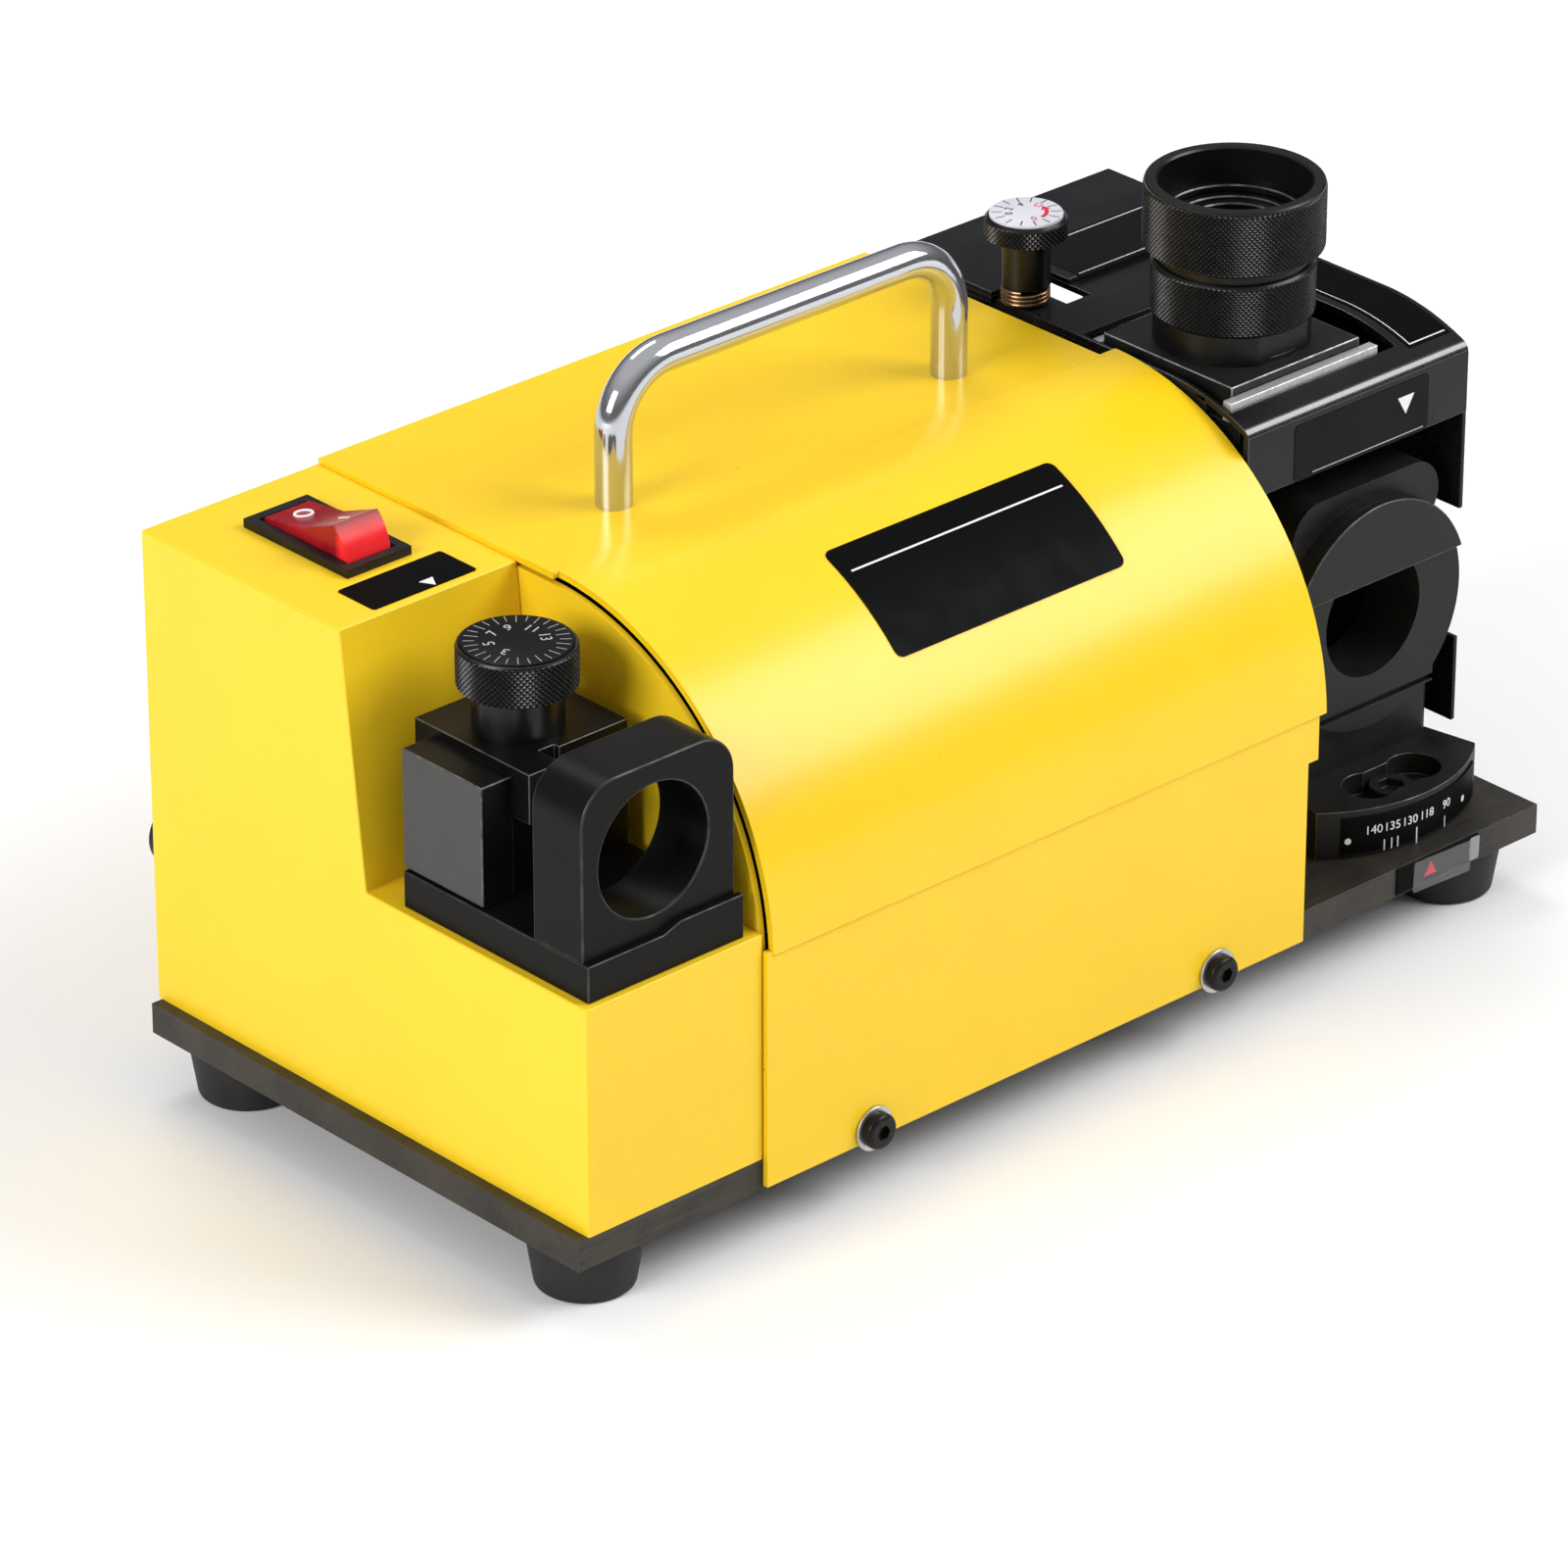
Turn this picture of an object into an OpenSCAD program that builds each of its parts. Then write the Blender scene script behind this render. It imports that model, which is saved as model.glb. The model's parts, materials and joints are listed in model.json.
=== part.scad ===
// Bench drill bit sharpener: a motor under a sheet-metal hood drives a bevelled
// wheel inside the black head on the right. The head has an upright splitting
// port and a swivelling angle port; a web gauge stands on the step on the left.
// +X points to the wheel end, -Y to the operator, Z is up from the bench.

/* [Base plate and feet] */
// Length of the steel base plate
plate_len = 280; // [270:1:300]
// Depth of the base plate, front to back
plate_dep = 135; // [130:1:145]
// Thickness of the base plate
plate_t = 7; // [5:0.5:9]
// Height of the rubber feet
foot_h = 13; // [10:0.5:20]
// Radius of a foot where it meets the plate
foot_top_r = 12.5; // [10:0.5:14]
// Radius of a foot on the bench
foot_bottom_r = 10.5; // [8:0.5:12]
// Distance of a foot's centre from the plate's edges
foot_inset = 14; // [13:0.5:18]
// Radius of the foot screws
foot_screw_r = 2; // [1.5:0.1:2.5]

/* [Electrical box] */
// Left face of the box, from the middle of the plate
box_left = 137.2; // [135:0.2:139]
// Seam between the box and the hood, from the middle of the plate
seam_x = 90; // [86:0.5:94]
// Height of the box and of the hood's flat top above the bench
top_z = 129.8; // [125:0.2:136]
// Height of the low step that carries the web gauge
step_z = 71.7; // [66:0.1:76]
// Front face of the tall part of the box, at its top
box_front_top_y = 6; // [3:0.5:9]
// Front face of the tall part of the box, at the step
box_front_low_y = -0.3; // [-2:0.1:2]
// Front face of the low step
step_front_y = -67.6; // [-69:0.1:-66]
// Back face of the box and the hood
back_y = 68.8; // [67.5:0.1:72]
// Thickness of the sheet metal
sheet_t = 1.5; // [1:0.1:2]
// How far the box top lies under the hood top
box_drop = 1.1; // [0.5:0.1:2]

/* [Switch] */
// Length of the rocker switch bezel
switch_len = 33; // [28:0.5:36]
// Width of the bezel
switch_wid = 17; // [14:0.5:19]
// Height of the bezel above the panel
switch_rim_h = 2; // [1:0.2:3]
// Centre of the switch along X
switch_x = -112.5; // [-118:0.5:-108]
// Centre of the switch along Y
switch_y = 39; // [30:0.5:45]
// Tilt of the rocker at rest, off side down
switch_tilt = 15; // [12:1:16]
// Depth of the switch body under the panel
switch_body_h = 20; // [16:0.5:26]

/* [Hood] */
// Right edge of the hood's flat panels
hood_right = 65.5; // [62:0.5:68]
// How far the rounded part reaches past the right edge
hood_lap = 4.8; // [3:0.2:6]
// Gap at the left end of the rounded part
hood_inset = 1.5; // [0.5:0.1:3]
// Radius of the rounded part of the hood
hood_r = 65.2; // [60:0.2:68]
// How far the hood's front stands before the plate's front edge
hood_front_gap = 1.7; // [1.2:0.1:2.5]
// Angle that the rounded part keeps short of vertical at the bend
hood_bend_angle = 2; // [0:0.5:4]
// Lower edge of the hood's front above the bench
hood_low_z = 13.7; // [13.2:0.1:16]
// Distance between the two front screws
hood_screw_pitch = 99.6; // [90:0.2:110]
// Centre between the front screws
hood_screw_mid = -10.8; // [-16:0.2:-6]
// Width of a vent slot in the back
vent_w = 3; // [2:0.5:5]
// Number of vent slots in the back
vent_count = 10; // [6:1:12]

/* [Handle] */
// Diameter of the handle rod
handle_d = 8; // [6:0.5:10]
// Distance between the handle's legs
handle_span = 94.8; // [85:0.2:105]
// Middle of the handle along X
handle_x = -11.9; // [-16:0.1:-6]
// Height of the rod's centre line above the hood top
handle_rise = 29.6; // [24:0.2:36]
// Bend radius of the rod's centre line
handle_bend_r = 14; // [10:0.5:18]

/* [Motor and wheel] */
// Motor axis and handle line along Y
motor_y = 11; // [9:0.5:13]
// Height of the motor axis above the bench
motor_z = 68; // [66:0.5:70]
// Outside diameter of the motor
motor_d = 88; // [80:1:92]
// Left end of the motor
motor_left = -70; // [-76:1:-60]
// Right end of the motor
motor_right = 46; // [40:1:50]
// Diameter of the motor shaft
shaft_d = 12; // [10:0.5:14]
// Outside diameter of the bearings
bearing_d = 32; // [28:1:36]
// Width of the bearings
bearing_w = 10; // [8:1:12]
// Radial running clearance of turning parts
run_gap = 0.05; // [0.02:0.01:0.09]
// Diameter of the grinding wheel
wheel_d = 69; // [60:0.5:71]
// Width of the grinding wheel
wheel_w = 10; // [8:0.5:12]
// Left face of the grinding wheel
wheel_x = 101; // [99:0.5:104]

/* [Head] */
// Left face of the head's frame
head_left = 71; // [70.6:0.1:72]
// Right face of the head
head_right = 138.4; // [138:0.1:139.5]
// Front face of the head's lip
head_front_y = -43.5; // [-44:0.1:-43]
// Back face of the head
head_back_y = 66.5; // [64:0.5:68]
// Height of the head's top sheet above the bench
head_top_z = 128.6; // [127:0.1:130]
// Lower edge of the head's front lip
lip_low_z = 107; // [104:0.5:109]
// Radius of the rounded front of the head's top
head_roll_r = 58; // [50:1:64]
// Thickness of the raised lid
lid_t = 1.2; // [0.8:0.1:1.6]
// Front edge of the raised lid
lid_front_y = 28.5; // [26:0.5:31]
// Width of the front post of the head's side
post_w = 13; // [11:0.5:15]

/* [Splitting port and chuck] */
// Port axis along X
port_x = 94.6; // [94:0.1:96]
// Port axis along Y
port_y = -14.7; // [-15.5:0.1:-14]
// Side of the square port plate
port_side = 38.7; // [37:0.1:39.5]
// Thickness of the port plate
port_t = 6.5; // [6:0.1:7.5]
// Bore of the ports and outside of the chuck's shank
port_bore_d = 29; // [27:0.2:30]
// Outside diameter of the turning bush
bush_d = 34; // [32.5:0.1:35]
// Travel of the port plate along its rail
port_travel = 3; // [2:0.5:5]
// Diameter of the chuck's knurled cap
cap_d = 39.4; // [37:0.2:41]
// Diameter of the chuck's lower knurled grip
grip_d = 35.7; // [34.5:0.1:37]
// Height of the chuck's cap
cap_h = 15.2; // [11:0.2:16]
// Height of the lower grip
grip_h = 12; // [9:0.2:14]
// Height of the turning bush above the port plate
bush_h = 6.7; // [5:0.1:9]
// Bore of the open collet
collet_d = 13.2; // [12:0.2:14]

/* [Depth knob] */
// Distance of the knob's axis from the head's left edge
depth_inset = 5; // [4.8:0.1:7]
// Knob axis along Y
depth_y = 29.5; // [28.5:0.1:30.5]
// Diameter of the knurled rim
depth_rim_d = 18.4; // [16:0.2:20]
// Height of the knurled rim
depth_rim_h = 4.6; // [3.5:0.1:6]
// Diameter of the knob's neck
depth_neck_d = 11; // [9:0.2:12]
// Height of the neck
depth_neck_h = 11; // [8:0.5:14]
// Height of the spring under the neck
depth_spring_h = 4.6; // [3.5:0.1:6]

/* [Angle port] */
// Swivel axis along X
swivel_x = 110; // [109.5:0.1:110.5]
// Swivel axis along Y
swivel_y = -23.5; // [-24:0.1:-23]
// Radius of the curved scale
scale_r = 38.7; // [37:0.1:40]
// Height of the swivelling base
swivel_base_h = 11.5; // [10:0.1:12.5]
// Width of the upright block
upright_w = 45; // [42:0.5:47]
// Thickness of the upright block
upright_t = 12; // [10:0.5:13]
// Height of the upright's top above the bench
upright_top_z = 98.3; // [96:0.5:101]
// Distance of the upright's front face from the swivel axis
upright_reach = 18; // [17:0.5:19]
// Radius of the round boss
boss_r = 27; // [25:0.5:27.5]
// Thickness of the round boss
boss_t = 3; // [2:0.5:4]
// Thickness of the half-round stop plate
stop_t = 2; // [1.5:0.1:3]

/* [Web gauge] */
// Width of the gauge base along X
gauge_w = 41.5; // [40:0.5:43]
// Depth of the gauge base along Y
gauge_dep = 56; // [53:0.5:58]
// Height of the gauge base
gauge_base_h = 8.3; // [7:0.1:10]
// Left face of the gauge base
gauge_left = -135.2; // [-136:0.1:-134]
// Front face of the gauge base
gauge_front_y = -66; // [-67:0.1:-65]
// Thickness of the ring block
ring_t = 16.3; // [14:0.1:17]
// Height of the ring block's top above the step
ring_top = 46.8; // [44:0.2:49]
// Corner radius of the ring block
ring_corner_r = 9; // [6:0.5:11]
// Height of the gauge bore above the step
gauge_bore_z = 27.3; // [26:0.1:29]
// Height of the jaw housing's top above the step
housing_top = 37.3; // [35:0.1:40]
// Travel of the moving jaw
jaw_travel = 4; // [3:0.5:5]
// Diameter of the dial knob
dial_d = 25.2; // [22:0.2:27]
// Height of the dial knob's knurled rim
dial_rim_h = 9; // [7:0.5:11]
// Diameter of the dial knob's neck
dial_neck_d = 19; // [16:0.5:20]
// Height of the neck
dial_neck_h = 9; // [7:0.5:11]

/* [Hidden] */
$fn = 64;

// Levels and faces that several pieces share
plate_top = foot_h + plate_t;
box_top = top_z - box_drop;
bend_step = 0.05;  // the rounded part's crown lies this far under the flat top
lap_step = 0.3;    // the hood's flat front lies this far behind the rounded part
hood_front_y = -plate_dep / 2 - hood_front_gap;
hood_face_y = hood_front_y + lap_step;
arc_y = hood_front_y + hood_r * cos(hood_bend_angle);
arc_z = top_z - hood_r - bend_step;
bend_z = arc_z + hood_r * sin(hood_bend_angle);
hood_end = hood_right + hood_lap;
past = 1;          // how far a cutter runs past the face that it cuts
fit = 0.1;         // radial gap round fixed screws and studs
motor_r = motor_d / 2;
shaft_r = shaft_d / 2;
bearing_r = bearing_d / 2;

// Cylinders along the three axes and a block between six faces
module rod_x(r, x0, x1, y, z) {
  translate([x0, y, z]) rotate([0, 90, 0]) cylinder(r = r, h = x1 - x0);
}
module rod_y(r, y0, y1, x, z) {
  translate([x, y0, z]) rotate([-90, 0, 0]) cylinder(r = r, h = y1 - y0);
}
module rod_z(r, z0, z1, x, y) {
  translate([x, y, z0]) cylinder(r = r, h = z1 - z0);
}
module block(x0, x1, y0, y1, z0, z1) {
  translate([x0, y0, z0]) cube([x1 - x0, y1 - y0, z1 - z0]);
}
// An outline drawn in Y and Z, drawn out along X
module profile_x(x0, x1, points) {
  translate([x0, 0, 0]) rotate([90, 0, 90]) linear_extrude(x1 - x0) polygon(points);
}
// A round disc with a chamfer on both rims, standing on z0
module knob_disc(r, z0, z1, x, y, chamfer) {
  translate([x, y, z0]) rotate_extrude() polygon([
    [0, 0], [r - chamfer, 0], [r, chamfer], [r, z1 - z0 - chamfer],
    [r - chamfer, z1 - z0], [0, z1 - z0]
  ]);
}
knob_edge = 0.6;     // chamfer of the small turned rims
dial_edge = 0.8;     // chamfer of the large ones
// A spiral cam whose radius towards the follower grows evenly as it turns
function spiral(r0, rise, turn, towards) =
  [for (a = [0:6:turn]) (r0 + rise * a / turn) * [cos(towards - a), sin(towards - a)]];

// ---- Base plate and feet ----
foot_x = plate_len / 2 - foot_inset;
foot_y = plate_dep / 2 - foot_inset;
foot_recess = 4;   // depth of the screw recess in a foot
screw_head_r = 2 * foot_screw_r;
module at_feet() {
  for (sx = [-1, 1]) for (sy = [-1, 1]) translate([sx * foot_x, sy * foot_y, 0]) children();
}
hood_screw_r = 2.5;
hood_screw_z = foot_h + plate_t / 2;
hood_screw_depth = 12;
washer_r = 5;
washer_t = 0.8;
hood_head_r = 4;
hood_head_h = 2.5;
hood_screw_front = -hood_face_y + washer_t + hood_head_h;
function hood_screw_x(s) = hood_screw_mid + s * hood_screw_pitch / 2;
cradle_bolt_r = 2.5;
module base_plate() color("#3b3a38") difference() {
  block(-plate_len / 2, plate_len / 2, -plate_dep / 2, plate_dep / 2, foot_h, plate_top);
  at_feet() rod_z(foot_screw_r + fit, foot_h - past, plate_top + past, 0, 0);
  for (s = [-1, 1])
    rod_y(hood_screw_r + fit, -plate_dep / 2 - past, -plate_dep / 2 + hood_screw_depth,
      hood_screw_x(s), hood_screw_z);
  at_cradle_bolts() rod_z(cradle_bolt_r + fit, foot_h - past, plate_top + past, 0, 0);
  rod_z(swivel_pin_r, plate_top - swivel_pin_depth, plate_top + past, swivel_x, swivel_y);
}
module rubber_feet() color("#181818") at_feet() difference() {
  cylinder(r1 = foot_bottom_r, r2 = foot_top_r, h = foot_h);
  rod_z(foot_screw_r + fit, -past, foot_h + past, 0, 0);
  rod_z(screw_head_r + 2 * fit, -past, foot_recess, 0, 0);
}
foot_head_h = 2;
module foot_screws() color("#303030") at_feet() {
  rod_z(screw_head_r, foot_recess - foot_head_h, foot_recess, 0, 0);
  rod_z(foot_screw_r, foot_recess, plate_top - past, 0, 0);
}

// ---- Electrical box ----
module switch_opening() {
  block(switch_x - skirt_w / 2 - fit, switch_x + skirt_w / 2 + fit,
    switch_y - skirt_l / 2 - fit, switch_y + skirt_l / 2 + fit, step_z, box_top + past);
}
inlet_x = -128;
inlet_z = 55;
inlet_r = 6;
wire_hole_r = 7;
module electrical_box() color("#f2c81c") difference() {
  profile_x(-box_left, -seam_x, [
    [back_y, plate_top], [back_y, box_top], [box_front_top_y, box_top],
    [box_front_low_y, step_z], [step_front_y, step_z], [step_front_y, plate_top]
  ]);
  profile_x(-box_left + sheet_t, -seam_x - sheet_t, [
    [back_y - sheet_t, plate_top - past], [back_y - sheet_t, box_top - sheet_t],
    [box_front_top_y + sheet_t, box_top - sheet_t],
    [box_front_low_y + sheet_t, step_z - sheet_t],
    [step_front_y + sheet_t, step_z - sheet_t], [step_front_y + sheet_t, plate_top - past]
  ]);
  switch_opening();
  rod_y(inlet_r + fit, back_y - 2 * sheet_t, back_y + past, inlet_x, inlet_z);
  rod_x(wire_hole_r, -seam_x - 2 * sheet_t, -seam_x + past, motor_y, plate_top + 2 * wire_hole_r);
}
// The inlet is a threaded bush with a collar outside and a lock nut inside
inlet_collar_r = 7.5;
inlet_bore_r = 3.5;
inlet_out = 3.4;
inlet_nut_t = 3;
module power_inlet() color("#1a1a1a") difference() {
  union() {
    rod_y(inlet_r, back_y - sheet_t - inlet_nut_t - past, back_y + past / 2, inlet_x, inlet_z);
    rod_y(inlet_collar_r, back_y, back_y + inlet_out, inlet_x, inlet_z);
    translate([inlet_x, back_y - sheet_t, inlet_z]) rotate([90, 0, 0])
      cylinder(r = inlet_collar_r, h = inlet_nut_t, $fn = 6);
  }
  rod_y(inlet_bore_r, step_front_y, back_y + inlet_out + past, inlet_x, inlet_z);
}
terminal_len = 30;
terminal_wid = 14;
terminal_h = 16;
module terminal_block() color("#e8e6dc") difference() {
  block(switch_x - terminal_len / 2, switch_x + terminal_len / 2,
    switch_y - terminal_wid / 2, switch_y + terminal_wid / 2, plate_top, plate_top + terminal_h);
  for (i = [-1, 0, 1])
    rod_z(inlet_bore_r / 2, plate_top + terminal_h / 2, plate_top + terminal_h + past,
      switch_x + i * terminal_len / 3, switch_y);
}
capacitor_r = 15;
capacitor_h = 42;
capacitor_y = -34;
module motor_capacitor() color("#c9ccd0") {
  rod_z(capacitor_r, plate_top, plate_top + capacitor_h, switch_x, capacitor_y);
  for (s = [-1, 1])
    block(switch_x + s * capacitor_r / 2 - 1, switch_x + s * capacitor_r / 2 + 1,
      capacitor_y - 3, capacitor_y + 3, plate_top + capacitor_h - past,
      plate_top + capacitor_h + 4);
}

// ---- Switch ----
rim_w = 2.2;                               // width of the bezel round the rocker
rocker_r = switch_len / 2 - rim_w - 1;     // swing radius of the rocker's ends
rocker_w = switch_wid - 2 * rim_w - 0.8;
skirt_w = switch_wid - 3.4;
skirt_l = switch_len - 3;
pivot_drop = 1;                            // the rocker turns this far under the panel
pivot_z = box_top - pivot_drop;
skirt_h = 6.8;
pivot_r = 1.2;
module switch_frame() color("#202020") difference() {
  union() {
    block(switch_x - switch_wid / 2, switch_x + switch_wid / 2,
      switch_y - switch_len / 2, switch_y + switch_len / 2, box_top, box_top + switch_rim_h);
    block(switch_x - skirt_w / 2, switch_x + skirt_w / 2,
      switch_y - skirt_l / 2, switch_y + skirt_l / 2, box_top - skirt_h, box_top + past);
  }
  block(switch_x - switch_wid / 2 + rim_w, switch_x + switch_wid / 2 - rim_w,
    switch_y - switch_len / 2 + rim_w, switch_y + switch_len / 2 - rim_w,
    box_top - skirt_h - past, box_top + switch_rim_h + past);
  rod_x(pivot_r + run_gap, switch_x - skirt_w / 2 - past, switch_x + skirt_w / 2 + past,
    switch_y, pivot_z);
}
rocker_h = 5.5;      // height of the dip between the rocker's two faces
rocker_bow = 7;      // how steeply each face climbs away from the dip
rocker_rise = rocker_r * tan(rocker_bow);
rocker_skirt = 1.2;  // how far the rocker's end faces reach under its pivot
rocker_base = 3.6;   // depth of the rocker's foot under its pivot
module switch_rocker() color("#c81e28")
  translate([switch_x, switch_y, pivot_z]) rotate([-switch_tilt, 0, 0]) {
    intersection() {
      profile_x(-rocker_w / 2, rocker_w / 2, [
        [-rocker_r, -rocker_skirt], [-rocker_r / 2, -rocker_base], [rocker_r / 2, -rocker_base],
        [rocker_r, -rocker_skirt], [rocker_r, rocker_h + rocker_rise], [0, rocker_h],
        [-rocker_r, rocker_h + rocker_rise]
      ]);
      rod_x(rocker_r, -rocker_w, rocker_w, 0, 0);
    }
    rod_x(pivot_r, -skirt_w / 2, skirt_w / 2, 0, 0);
  }
tab_h = 8;
tab_w = 6;
tab_t = 0.8;
module switch_body() color("#2a2a2a") {
  block(switch_x - skirt_w / 2, switch_x + skirt_w / 2, switch_y - skirt_l / 2,
    switch_y + skirt_l / 2, box_top - skirt_h - switch_body_h, box_top - skirt_h);
  for (i = [-1, 0, 1])
    block(switch_x - tab_w / 2, switch_x + tab_w / 2, switch_y + i * skirt_l / 3 - tab_t / 2,
      switch_y + i * skirt_l / 3 + tab_t / 2, box_top - skirt_h - switch_body_h - tab_h,
      box_top - skirt_h - switch_body_h + past);
}

// ---- Hood and its end panels ----
handle_r = handle_d / 2;
stud_r = 3;
function leg_x(s) = handle_x + s * handle_span / 2;
vent_z0 = 34;
vent_z1 = 66;
vent_pitch = 9;
lip_drop = 11;       // how far the inner lip shows under the rounded part
lip_sink = 0.4;      // how far the lip reaches into the sheet
bend_web = 0.1;      // extra metal inside the front bend
bend_lap = 1;        // the flat panels reach this far into the rounded part
module hood() color("#f5cc20") difference() {
  union() {
    intersection() {
      difference() {
        rod_x(hood_r, -seam_x + hood_inset, hood_end, arc_y, arc_z);
        rod_x(hood_r - sheet_t, -seam_x, hood_end + past, arc_y, arc_z);
      }
      block(-seam_x, hood_end + past, hood_front_y - past, arc_y, bend_z, top_z + past);
    }
    block(-seam_x, hood_right, hood_face_y, hood_front_y + sheet_t + bend_web,
      hood_low_z, bend_z + bend_lap);
    block(-seam_x, hood_right, arc_y - bend_lap, back_y, top_z - sheet_t, top_z);
    block(-seam_x, hood_right, back_y - sheet_t, back_y, plate_top, top_z);
    block(hood_right - hood_lap, hood_end - past, hood_front_y + sheet_t - lip_sink,
      hood_front_y + 2 * sheet_t, bend_z - lip_drop, bend_z + lip_drop / 3);
  }
  for (s = [-1, 1]) {
    rod_z(stud_r + fit, top_z - 2 * sheet_t, top_z + past, leg_x(s), motor_y);
    rod_y(hood_screw_r + fit, hood_front_y - past, hood_front_y + 2 * sheet_t,
      hood_screw_x(s), hood_screw_z);
  }
  for (i = [0:vent_count - 1])
    block(handle_x + (i - (vent_count - 1) / 2) * vent_pitch - vent_w / 2,
      handle_x + (i - (vent_count - 1) / 2) * vent_pitch + vent_w / 2,
      back_y - 2 * sheet_t, back_y + past, vent_z0, vent_z1);
}
hood_socket_r = hood_screw_r * 0.7;
module hood_screws() color("#151515") for (s = [-1, 1]) difference() {
  union() {
    rod_y(hood_screw_r, hood_face_y - washer_t, -plate_dep / 2 + hood_screw_depth - past,
      hood_screw_x(s), hood_screw_z);
    rod_y(hood_head_r, -hood_screw_front, hood_face_y - washer_t, hood_screw_x(s), hood_screw_z);
  }
  translate([hood_screw_x(s), -hood_screw_front + hood_head_h / 2, hood_screw_z])
    rotate([90, 0, 0]) cylinder(r = hood_socket_r, h = hood_head_h, $fn = 6);
}
module hood_washers() color("#cfd2d6") for (s = [-1, 1]) difference() {
  rod_y(washer_r, hood_face_y - washer_t, hood_face_y, hood_screw_x(s), hood_screw_z);
  rod_y(hood_screw_r + fit, hood_face_y - washer_t - past, hood_face_y + past,
    hood_screw_x(s), hood_screw_z);
}
panel_inset = 2.5;   // the end panels stop this far inside the hood's curve
module end_panel(x0, x1) {
  intersection() {
    block(x0, x1, hood_front_y + sheet_t + fit, back_y - sheet_t - fit,
      plate_top, top_z - panel_inset);
    union() {
      rod_x(hood_r - panel_inset, x0 - past, x1 + past, arc_y, arc_z);
      block(x0 - past, x1 + past, arc_y, back_y, plate_top - past, top_z);
      block(x0 - past, x1 + past, hood_front_y + panel_inset, back_y, plate_top - past, arc_z);
    }
  }
}
shaft_hole_r = 9;
module left_end_panel() color("#eec41c") difference() {
  end_panel(-seam_x, -seam_x + sheet_t);
  rod_x(wire_hole_r, -seam_x - past, -seam_x + 2 * sheet_t, motor_y, plate_top + 2 * wire_hole_r);
}
module right_end_panel() color("#eec41c") difference() {
  end_panel(hood_right - sheet_t, hood_right);
  rod_x(shaft_hole_r, hood_right - 2 * sheet_t, hood_right + past, motor_y, motor_z);
  block(hood_right - 2 * sheet_t, hood_right + past, hood_front_y - past,
    hood_front_y + 2 * sheet_t + run_gap, bend_z - lip_drop - run_gap,
    bend_z + lip_drop / 3 + run_gap);
}
// Bare name plates: a curved one on the hood and a flat one by the switch
label_t = 0.3;
front_plate_x0 = -37.5;
front_plate_x1 = 27.3;
front_plate_a0 = 21.8;
front_plate_a1 = 46.4;
module front_plate() color("#121212") intersection() {
  difference() {
    rod_x(hood_r + label_t, front_plate_x0, front_plate_x1, arc_y, arc_z);
    rod_x(hood_r, front_plate_x0 - past, front_plate_x1 + past, arc_y, arc_z);
  }
  profile_x(front_plate_x0 - past, front_plate_x1 + past, [
    [arc_y, arc_z],
    [arc_y - 2 * hood_r * sin(front_plate_a0), arc_z + 2 * hood_r * cos(front_plate_a0)],
    [arc_y - 2 * hood_r * sin(front_plate_a1), arc_z + 2 * hood_r * cos(front_plate_a1)]
  ]);
}
web_plate_x0 = -126.3;
web_plate_x1 = -99;
web_plate_y0 = 8;
web_plate_y1 = 19.5;
module web_plate() color("#121212")
  block(web_plate_x0, web_plate_x1, web_plate_y0, web_plate_y1, box_top, box_top + label_t);

// ---- Handle ----
bar_z = top_z + handle_rise;
stud_len = 10;
nut_t = 4;
module handle() color("#d8dce0") {
  rod_x(handle_r, leg_x(-1) + handle_bend_r, leg_x(1) - handle_bend_r, motor_y, bar_z);
  for (s = [-1, 1]) {
    rod_z(handle_r, top_z, bar_z - handle_bend_r, leg_x(s), motor_y);
    rod_z(stud_r, top_z - stud_len, top_z + past, leg_x(s), motor_y);
    translate([leg_x(s) - s * handle_bend_r, motor_y, bar_z - handle_bend_r])
      rotate([90, 0, s > 0 ? 0 : 180]) rotate_extrude(angle = 90)
        translate([handle_bend_r, 0]) circle(r = handle_r);
  }
}
module handle_nuts() color("#a8acb0") for (s = [-1, 1]) difference() {
  translate([leg_x(s), motor_y, top_z - sheet_t - nut_t])
    cylinder(r = 2 * stud_r, h = nut_t, $fn = 6);
  rod_z(stud_r + fit, top_z - stud_len, top_z, leg_x(s), motor_y);
}

// ---- Motor ----
bell_t = 8;
casing_t = 3;
stator_r = 25;          // inside radius of the stator
rotor_gap = 0.6;
coil_room_left = 26;
coil_room_right = 20;
stator_x0 = motor_left + coil_room_left;
stator_x1 = motor_right - coil_room_right;
module motor_body() color("#5d6166") difference() {
  rod_x(motor_r, motor_left, motor_right, motor_y, motor_z);
  rod_x(motor_r - casing_t, motor_left - past, stator_x0, motor_y, motor_z);
  rod_x(motor_r - casing_t, stator_x1, motor_right + past, motor_y, motor_z);
  rod_x(stator_r, motor_left - past, motor_right + past, motor_y, motor_z);
}
slot_w = 6;
module motor_bell(x0, x1) difference() {
  rod_x(motor_r, x0, x1, motor_y, motor_z);
  rod_x(bearing_r, x0 - past, x1 + past, motor_y, motor_z);
  for (a = [0:45:315]) translate([0, motor_y, motor_z]) rotate([a, 0, 0])
    block(x0 - past, x1 + past, -slot_w / 2, slot_w / 2, bearing_r + slot_w,
      motor_r - casing_t - slot_w / 2);
}
module motor_left_bell() color("#8b8f94") motor_bell(motor_left - bell_t, motor_left);
module motor_right_bell() color("#8b8f94") motor_bell(motor_right, motor_right + bell_t);
module bearing(x0) difference() {
  rod_x(bearing_r, x0, x0 + bearing_w, motor_y, motor_z);
  rod_x(shaft_r + run_gap, x0 - past, x0 + bearing_w + past, motor_y, motor_z);
}
left_bearing_x = motor_left - bell_t - (bearing_w - bell_t) / 2;
right_bearing_x = motor_right - (bearing_w - bell_t) / 2;
module left_bearing() color("#b9bdc2") bearing(left_bearing_x);
module right_bearing() color("#b9bdc2") bearing(right_bearing_x);
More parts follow.
